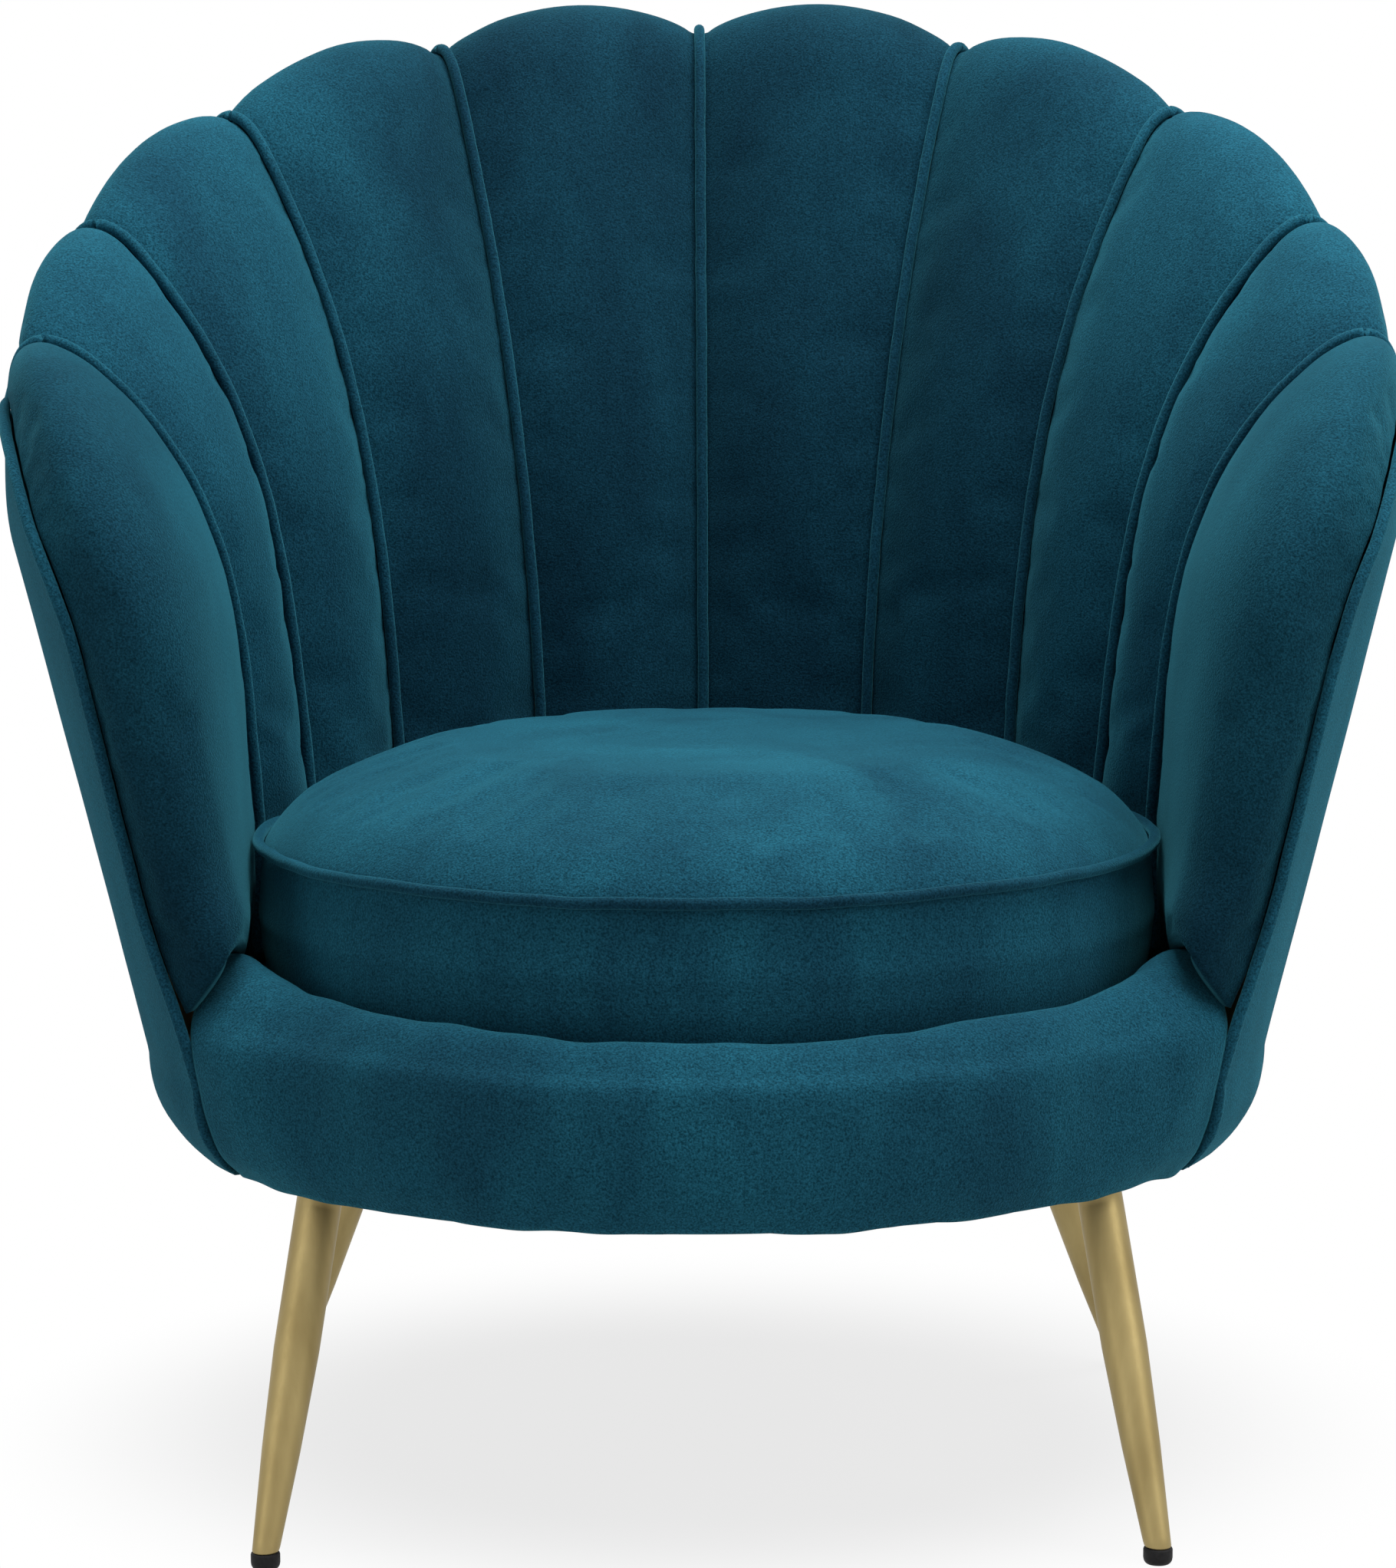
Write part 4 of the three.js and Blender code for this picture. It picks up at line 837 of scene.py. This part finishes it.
def leg_end(place_right, side, height):
    return np.array([place_right[0] * side, place_right[1] + AXIS_Y, height])


def make_leg(name, top, foot):
    axis = unit(top - foot)
    tube_end = (PLATE_BOTTOM - foot[2]) / axis[2]

    def tube(distance, radius, level_share=0.0):
        return tilted_ring(foot + axis * distance, axis, radius, level_share, LEG_SIDES)

    def outer_radius(distance):
        middle_radius = lerp(LEG_FOOT_RADIUS, LEG_RADIUS, LEG_TAPER_MIDDLE_SHARE)
        return np.interp(distance, [0, LEG_TAPER_LENGTH / 2, LEG_TAPER_LENGTH],
                         [LEG_FOOT_RADIUS, middle_radius, LEG_RADIUS])

    stops = np.concatenate([np.linspace(LEG_TAPER_START, LEG_TAPER_LENGTH, LEG_TAPER_RINGS), LEG_STOPS,
                            [tube_end - LEG_END_GAP]])
    rings = [tube(LEG_FOOT_GAP, LEG_FOOT_RADIUS - FOOT_BEVEL, 1), tube(LEG_FOOT_SHOULDER, LEG_FOOT_RADIUS, 1)]
    rings += [tube(stop, outer_radius(stop)) for stop in stops]
    for share in (0, 0.4, 0.75, 1):
        flare = LEG_WELD * (1 - math.cos(share * math.pi / 2))
        rings.append(tube(tube_end - LEG_WELD * (1 - share), LEG_RADIUS + flare, 1))
    plate = ((LEG_PLATE_RADIUS - PLATE_BEVEL, PLATE_BOTTOM), (LEG_PLATE_RADIUS, PLATE_BOTTOM + PLATE_BEVEL),
             (LEG_PLATE_RADIUS, PLATE_TOP - PLATE_BEVEL), (LEG_PLATE_RADIUS - PLATE_BEVEL, PLATE_TOP),
             (BOLT_HOLE_RADIUS, PLATE_TOP), (BOLT_HOLE_RADIUS, PLATE_BOTTOM))
    rings += [flat_ring(top[0], top[1], radius, height, LEG_SIDES, axis) for radius, height in plate]
    rings.append(tube(tube_end, LEG_RADIUS - LEG_WALL, 1))
    rings += [tube(stop, outer_radius(stop) - LEG_WALL) for stop in stops[::-1][::6]]
    rings.append(tube(LEG_FOOT_GAP, LEG_FOOT_RADIUS - LEG_WALL, 1))
    piece(f"brass_leg_{name}", np.stack(rings), "brass", [f"leg_{name}"], "joined")


def make_glide(name, top, foot):
    axis = unit(top - foot)
    rings = [flat_ring(foot[0], foot[1], radius, height, GLIDE_SIDES, axis) for radius, height in GLIDE_OUTLINE]
    rings += [tilted_ring(foot + axis * along, axis, radius, 0, GLIDE_SIDES) for along, radius in GLIDE_PLUG]
    piece(f"foot_{name}", np.stack(rings), "rubber", [f"glide_{name}"])


# Cloth, straps and deck under the cushion
def polar_disc(radius, rows, height):
    radii = np.linspace(radius, DISC_HUB_RADIUS, rows)
    return around(full_turn(ROUND_SIDES)[None, :], radii[:, None], height), radii


def make_dust_cloth():
    under, radii = polar_disc(DUST_CLOTH_RADIUS, DUST_CLOTH_ROWS, DUST_CLOTH_BOTTOM)
    inside = 1 - (radii / DUST_CLOTH_RADIUS) ** 2
    sag = DUST_CLOTH_SAG * smoothstep(inside, *SAG_STOPS)[:, None]
    wave = DUST_CLOTH_WAVE * ripple(under, CLOTH_WAVE_LENGTH, 71) * smoothstep(inside, *WAVE_STOPS)[:, None]
    under[..., 2] -= sag + wave
    over = under.copy()
    over[..., 2] += DUST_CLOTH_THICKNESS
    cloth = piece("dust_cover", np.concatenate([under[::-1], over]), "dust_cloth", ["dust_cloth"])


def make_deck():
    top, radii = polar_disc(DECK_RADIUS, DECK_ROWS, DECK_TOP)
    fall = (radii / DECK_RADIUS)[:, None]
    wave = DECK_WAVE * (1 + ripple(top, CLOTH_WAVE_LENGTH, 81))
    top[..., 2] -= DECK_EDGE_FALL * smoothstep(fall, *DECK_FALL_STOPS) + wave
    bottom, _ = polar_disc(DECK_RADIUS - DECK_UNDERCUT, DECK_BOTTOM_ROWS, DECK_BOTTOM)
    deck = piece("deck_panel", np.concatenate([bottom[::-1], top]), "deck", ["deck_pad"])


STRAP_RINGS, STRAP_SIDES = 90, 24
STRAP_SIDE_POWER, STRAP_FACE_POWER = 0.35, 0.6


def blunted(wave, power):
    return np.sign(wave) * np.abs(wave) ** power


def make_straps():
    for name in [f"webbing_across_{k}" for k in (1, 2, 3)] + [f"webbing_lengthwise_{k}" for k in (1, 2)]:
        low, high = (np.array(corner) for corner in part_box(name))
        along, across = (1, 0) if "lengthwise" in name else (0, 1)
        stops = np.linspace(low[along], high[along], STRAP_RINGS)
        turn = full_turn(STRAP_SIDES)
        thickness = (high[2] - low[2]) / 2
        half = (high[across] - low[across]) / 2
        rings = np.zeros((len(stops), len(turn), 3))
        rings[..., along] = stops[:, None]
        rings[..., across] = middle(low[across], high[across]) + half * blunted(np.cos(turn), STRAP_SIDE_POWER)
        rings[..., 2] = middle(low[2], high[2]) + thickness * blunted(np.sin(turn), STRAP_FACE_POWER)
        piece(f"strap_{name}", rings, "webbing", [name])


# Materials
def new_material(name):
    material = bpy.data.materials.new(name)
    material.use_nodes = True
    tree = material.node_tree
    return material, tree, tree.nodes["Principled BSDF"]


def set_inputs(tree, made, inputs):
    """Links each input of a node to a socket, or sets it where it is given a value."""
    for key, value in inputs.items():
        if isinstance(value, bpy.types.NodeSocket):
            tree.links.new(value, made.inputs[key])
        else:
            made.inputs[key].default_value = value


def node(tree, kind, inputs=None, **settings):
    made = tree.nodes.new(kind)
    for key, value in settings.items():
        setattr(made, key, value)
    set_inputs(tree, made, inputs or {})
    return made


def math_of(tree, operation, *values):
    return node(tree, "ShaderNodeMath", dict(enumerate(values)), operation=operation).outputs[0]


def place(tree, scale=(1, 1, 1)):
    coordinates = node(tree, "ShaderNodeTexCoord")
    return node(tree, "ShaderNodeMapping", {"Vector": coordinates.outputs["Object"], "Scale": scale}).outputs[0]


def noise_at(tree, scale, detail=2.0, distortion=0.0, stretch=(1, 1, 1), roughness=0.5):
    return node(tree, "ShaderNodeTexNoise", {"Vector": place(tree, stretch), "Scale": scale, "Detail": detail,
                                             "Roughness": roughness, "Distortion": distortion}).outputs["Fac"]


def ramp(tree, value, stops):
    made = node(tree, "ShaderNodeValToRGB", {"Fac": value})
    elements = made.color_ramp.elements
    while len(elements) < len(stops):
        elements.new(0.5)
    for element, (position, colour) in zip(elements, stops):
        element.position = position
        element.color = (*colour, 1)
    return made.outputs["Color"]


def multiplied(tree, first, second):
    """Two colours multiplied. Inputs 6 and 7 and output 2 are the colours of the mix node."""
    return node(tree, "ShaderNodeMix", {0: 1.0, 6: first, 7: second},
                data_type="RGBA", blend_type="MULTIPLY").outputs[2]


def bump(tree, shader, height, strength, distance):
    made = node(tree, "ShaderNodeBump", {"Height": height, "Strength": strength, "Distance": distance})
    set_inputs(tree, shader, {"Normal": made.outputs["Normal"]})


def srgb(*levels):
    shares = (level / 255 for level in levels)
    return tuple(share / 12.92 if share <= 0.04045 else ((share + 0.055) / 1.055) ** 2.4 for share in shares)


def grey(level):
    return level, level, level


VELVET_DARK, VELVET_LIGHT = srgb(22, 63, 81), srgb(29, 84, 103)
BRUSHED_SHARE = 0.22
SPECKLE_DARK, SPECKLE_LIGHT = 0.5, 1.6
# Painted shade: colour multipliers, with a slight tint, that darken the middle of the back, the middle of the
# piping and the noses lower down.
PAINTED_SHADE_TINT = (1.15, 1, 1.08)
BACK_PAINTED_SHADE = ("X", 0.14, 0.32, 0.45, 1.0)
NOSE_PAINTED_SHADE = ("Z", 0.32, 0.56, 0.36, 0.75)
PIPING_PAINTED_SHADE = ("X", 0.14, 0.32, 0.55, 1.0)


def velvet_material(name, sheen, painted_shade=None):
    """Velvet. The last argument, when given, is painted shade: an axis, two distances along it from the middle,
    and what the colour is multiplied by at each, so the colour is darker near the middle of that axis."""
    material, tree, shader = new_material(name)
    marks = noise_at(tree, 9, 3.0, 0.8, (1, 1, 0.45), 0.55)
    brushed = noise_at(tree, 55, 2.0, 0.3, (1, 1, 0.12), 0.6)
    mixed = math_of(tree, "ADD", marks, math_of(tree, "MULTIPLY", brushed, BRUSHED_SHARE))
    pile = noise_at(tree, 850, 1.5, 0.0, (1, 1, 1), 0.6)
    broad = ramp(tree, mixed, [(0.42, VELVET_DARK), (0.80, VELVET_LIGHT)])
    speckle = ramp(tree, pile, [(0.30, grey(SPECKLE_DARK)), (0.70, grey(SPECKLE_LIGHT))])
    colour = multiplied(tree, broad, speckle)
    # Painted shade: the colour is multiplied darker towards the middle of the given axis.
    if painted_shade:
        axis, start, end, low, high = painted_shade
        spot = node(tree, "ShaderNodeSeparateXYZ", {0: place(tree)}).outputs[axis]
        low_tint = tuple(low * part for part in PAINTED_SHADE_TINT)
        shade = ramp(tree, math_of(tree, "ABSOLUTE", spot), [(start, low_tint), (end, grey(high))])
        colour = multiplied(tree, colour, shade)
    set_inputs(tree, shader, {"Base Color": colour, "Roughness": 0.85, "Specular IOR Level": 0.06,
                              "Specular Tint": (0.15, 0.7, 0.9, 1), "Sheen Weight": sheen,
                              "Sheen Roughness": 0.45, "Sheen Tint": (0.15, 0.75, 0.95, 1)})
    bump(tree, shader, pile, 0.7, 0.0008)
    return material


def brass_material():
    material, tree, shader = new_material("satin_brass")
    streaks = noise_at(tree, 60, 3.0, 0.0, (1, 1, 0.03))
    grain = noise_at(tree, 700, 2.0, 0.0, (1, 1, 0.05))
    colour = ramp(tree, streaks, [(0.3, srgb(146, 129, 86)), (0.7, srgb(166, 149, 103))])
    rough = node(tree, "ShaderNodeMapRange", {"Value": grain, "To Min": 0.42, "To Max": 0.54}).outputs["Result"]
    set_inputs(tree, shader, {"Base Color": colour, "Metallic": 1.0, "Roughness": rough})
    bump(tree, shader, grain, 0.08, 0.0003)
    return material


def grained_material(name, scale, detail, stops, inputs, strength, distance):
    """Rubber or steel: one fine grain in colour and height."""
    material, tree, shader = new_material(name)
    grain = noise_at(tree, scale, detail)
    set_inputs(tree, shader, {"Base Color": ramp(tree, grain, stops), **inputs})
    bump(tree, shader, grain, strength, distance)
    return material


WAVE_BANDS = 20


def cloth_material(name, dark, light, count, strength):
    """A plain woven or bonded cloth, count threads to a metre."""
    material, tree, shader = new_material(name)
    threads = {"Vector": place(tree), "Scale": count / WAVE_BANDS, "Distortion": 0.4}
    across, along = (node(tree, "ShaderNodeTexWave", threads, bands_direction=axis).outputs["Fac"]
                     for axis in ("X", "Y"))
    height = math_of(tree, "ADD", math_of(tree, "MULTIPLY", across, along), noise_at(tree, 260, 3.0))
    colour = ramp(tree, height, [(0.3, dark), (1.2 / 1.3, light)])
    set_inputs(tree, shader, {"Base Color": colour, "Roughness": 0.9, "Specular IOR Level": 0.2})
    bump(tree, shader, height, strength, 0.0005)
    return material


def wood_material(name, dark, light, stretch, scale):
    material, tree, shader = new_material(name)
    grain = noise_at(tree, scale, 5.0, 1.2, stretch)
    fine = noise_at(tree, scale * 9, 2.0, 0.0, stretch)
    colour = multiplied(tree, ramp(tree, grain, [(0.35, dark), (0.65, light)]),
                        ramp(tree, fine, [(0.3, grey(0.86)), (0.7, grey(1.06))]))
    set_inputs(tree, shader, {"Base Color": colour, "Roughness": 0.62})
    bump(tree, shader, fine, 0.2, 0.0004)
    return material


def make_materials():
    return {
        "velvet": velvet_material("teal_velvet", 0.3),
        # Shaded copies of the velvet: the back pads, noses and piping carry painted shade.
        "back_velvet_painted_shade": velvet_material("teal_velvet_back_painted_shade", 0.25, BACK_PAINTED_SHADE),
        "nose_velvet_painted_shade": velvet_material("teal_velvet_nose_painted_shade", 0.25, NOSE_PAINTED_SHADE),
        "piping": velvet_material("teal_piping", 0.35, PIPING_PAINTED_SHADE),
        "brass": brass_material(),
        "rubber": grained_material(
            "black_rubber", 500, 3.0, [(0.3, srgb(16, 16, 17)), (0.75, srgb(34, 34, 36))],
            {"Roughness": 0.62, "Specular IOR Level": 0.2}, 0.15, 0.0004),
        "steel": grained_material(
            "zinc_steel", 220, 2.0, [(0.3, srgb(140, 141, 142)), (0.7, srgb(182, 182, 180))],
            {"Metallic": 1.0, "Roughness": 0.36}, 0.05, 0.0002),
        "dust_cloth": cloth_material("dust_cloth", srgb(14, 14, 15), srgb(30, 30, 32), 900, 0.3),
        "deck": cloth_material("deck_lining", srgb(20, 22, 25), srgb(44, 47, 52), 700, 0.3),
        "webbing": cloth_material("webbing", srgb(24, 24, 24), srgb(70, 68, 64), 420, 0.8),
        "plywood": wood_material("plywood", srgb(176, 142, 96), srgb(214, 182, 136), (0.25, 1, 4), 16),
        "hardwood": wood_material("hardwood", srgb(150, 112, 70), srgb(196, 158, 108), (1, 1, 0.15), 24),
        "fibreboard": wood_material("fibreboard", srgb(112, 84, 56), srgb(150, 118, 82), (1, 1, 1), 120),
    }


CARRIED_NODES = {
    "plywood": ["lower_frame_ring", "seat_frame_ring", "top_rail", "mid_rail"],
    "fibreboard": ["back_board"],
    "hardwood": [f"{stem}_{side}" for stem in ("leg_block_front", "leg_block_rear", "rear_post", "side_post",
                                               "arm_front_post") for side, _ in SIDES],
    "steel": [f"leg_bolt_{row}_{side}" for row in LEG_TOPS for side, _ in SIDES],
}


def dress_carried_nodes():
    for key, names in CARRIED_NODES.items():
        for name in names:
            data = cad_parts[name].data
            data.materials.clear()
            data.materials.append(LOOKS[key])


# Floor, light and camera
CAMERA_PLACE = (-0.01575, -2.8336, 0.7696)
CAMERA_PITCH = math.radians(7.698)
CAMERA_YAW = math.radians(-0.229)
CAMERA_ROLL = math.radians(-0.261)
CAMERA_LENS = 110.96
FLOOR_REACH = 12.0


def seen_directly(tree):
    """1 on the rays that show the background: straight to the camera, off metal or through glass."""
    path = node(tree, "ShaderNodeLightPath").outputs
    seen = math_of(tree, "MAXIMUM", path["Is Camera Ray"], path["Is Glossy Ray"])
    return math_of(tree, "MAXIMUM", seen, path["Is Transmission Ray"])


def make_floor():
    """A grey floor that holds the shadow, and fades to white away from the chair where it is seen directly."""
    corners = np.array([(-1, -1, 0), (1, -1, 0), (1, 1, 0), (-1, 1, 0)]) * FLOOR_REACH
    floor = mesh_object("floor", corners, [(0, 1, 2, 3)])
    material, tree, shader = new_material("pale_floor")
    set_inputs(tree, shader, {"Base Color": (*grey(0.5), 1), "Roughness": 0.9, "Specular IOR Level": 0.1})
    distance = node(tree, "ShaderNodeVectorMath", {0: place(tree)}, operation="LENGTH").outputs["Value"]
    fade = {"Value": distance, "From Min": 0.20, "From Max": 0.45, "To Min": 0.78, "To Max": 1.0}
    far = node(tree, "ShaderNodeMapRange", fade, interpolation_type="SMOOTHSTEP").outputs["Result"]
    factor = math_of(tree, "MULTIPLY", seen_directly(tree), far)
    white = node(tree, "ShaderNodeEmission", {"Color": (1, 1, 1, 1), "Strength": 1.0}).outputs[0]
    mixed = node(tree, "ShaderNodeMixShader", {0: factor, 1: shader.outputs[0], 2: white}).outputs[0]
    set_inputs(tree, tree.nodes["Material Output"], {"Surface": mixed})
    floor.data.materials.append(material)


def make_world(level):
    world = bpy.data.worlds.new("studio")
    bpy.context.scene.world = world
    world.use_nodes = True
    tree = world.node_tree
    shown = {"Value": seen_directly(tree), "To Min": level, "To Max": 1.0}
    strength = node(tree, "ShaderNodeMapRange", shown).outputs["Result"]
    set_inputs(tree, tree.nodes["Background"], {"Color": (1, 1, 1, 1), "Strength": strength})


def make_lamp(name, position, target, size, power):
    lamp = bpy.data.lights.new(name, "AREA")
    lamp.shape = "RECTANGLE"
    lamp.size, lamp.size_y = size
    lamp.energy = power
    obj = new_object(name, lamp)
    obj.location = position
    obj.rotation_mode = "QUATERNION"
    obj.rotation_quaternion = (Vector(target) - Vector(position)).to_track_quat("-Z", "Y")


def make_light():
    make_world(0.3)
    make_lamp("top_softbox", (0.4, -0.1, 2.6), (0, 0, 0.3), (2.0, 1.8), 62)
    make_lamp("key_softbox", (2.3, -1.4, 1.8), (0, 0, 0.45), (1.3, 1.5), 20)
    make_lamp("fill_softbox", (-2.0, -1.6, 1.0), (0, 0, 0.35), (1.4, 1.4), 7)


def make_camera():
    camera = bpy.data.cameras.new("camera")
    camera.lens = CAMERA_LENS
    camera.sensor_width = 36.0
    camera.clip_end = 60
    obj = new_object("camera", camera)
    turn = (Matrix.Rotation(CAMERA_YAW, 4, "Z") @ Matrix.Rotation(math.pi / 2 - CAMERA_PITCH, 4, "X")
            @ Matrix.Rotation(CAMERA_ROLL, 4, "Z"))
    obj.matrix_world = Matrix.Translation(CAMERA_PLACE) @ turn
    bpy.context.scene.camera = obj


def main():
    bpy.context.scene.view_settings.view_transform = "Standard"
    LOOKS.update(make_materials())
    for make in (dress_carried_nodes, make_channels, make_seam_cords, make_edge_cord, make_outer_cover,
                 make_base_band, make_cushion, make_cushion_cords):
        make()
    for row in LEG_TOPS:
        for side_name, side in SIDES:
            ends = leg_end(LEG_TOPS[row], side, PLATE_TOP), leg_end(LEG_FEET[row], side, GLIDE_HEIGHT)
            make_leg(f"{row}_{side_name}", *ends)
            make_glide(f"{row}_{side_name}", *ends)
    for make in (make_dust_cloth, make_deck, make_straps, make_floor, make_light, make_camera):
        make()


main()
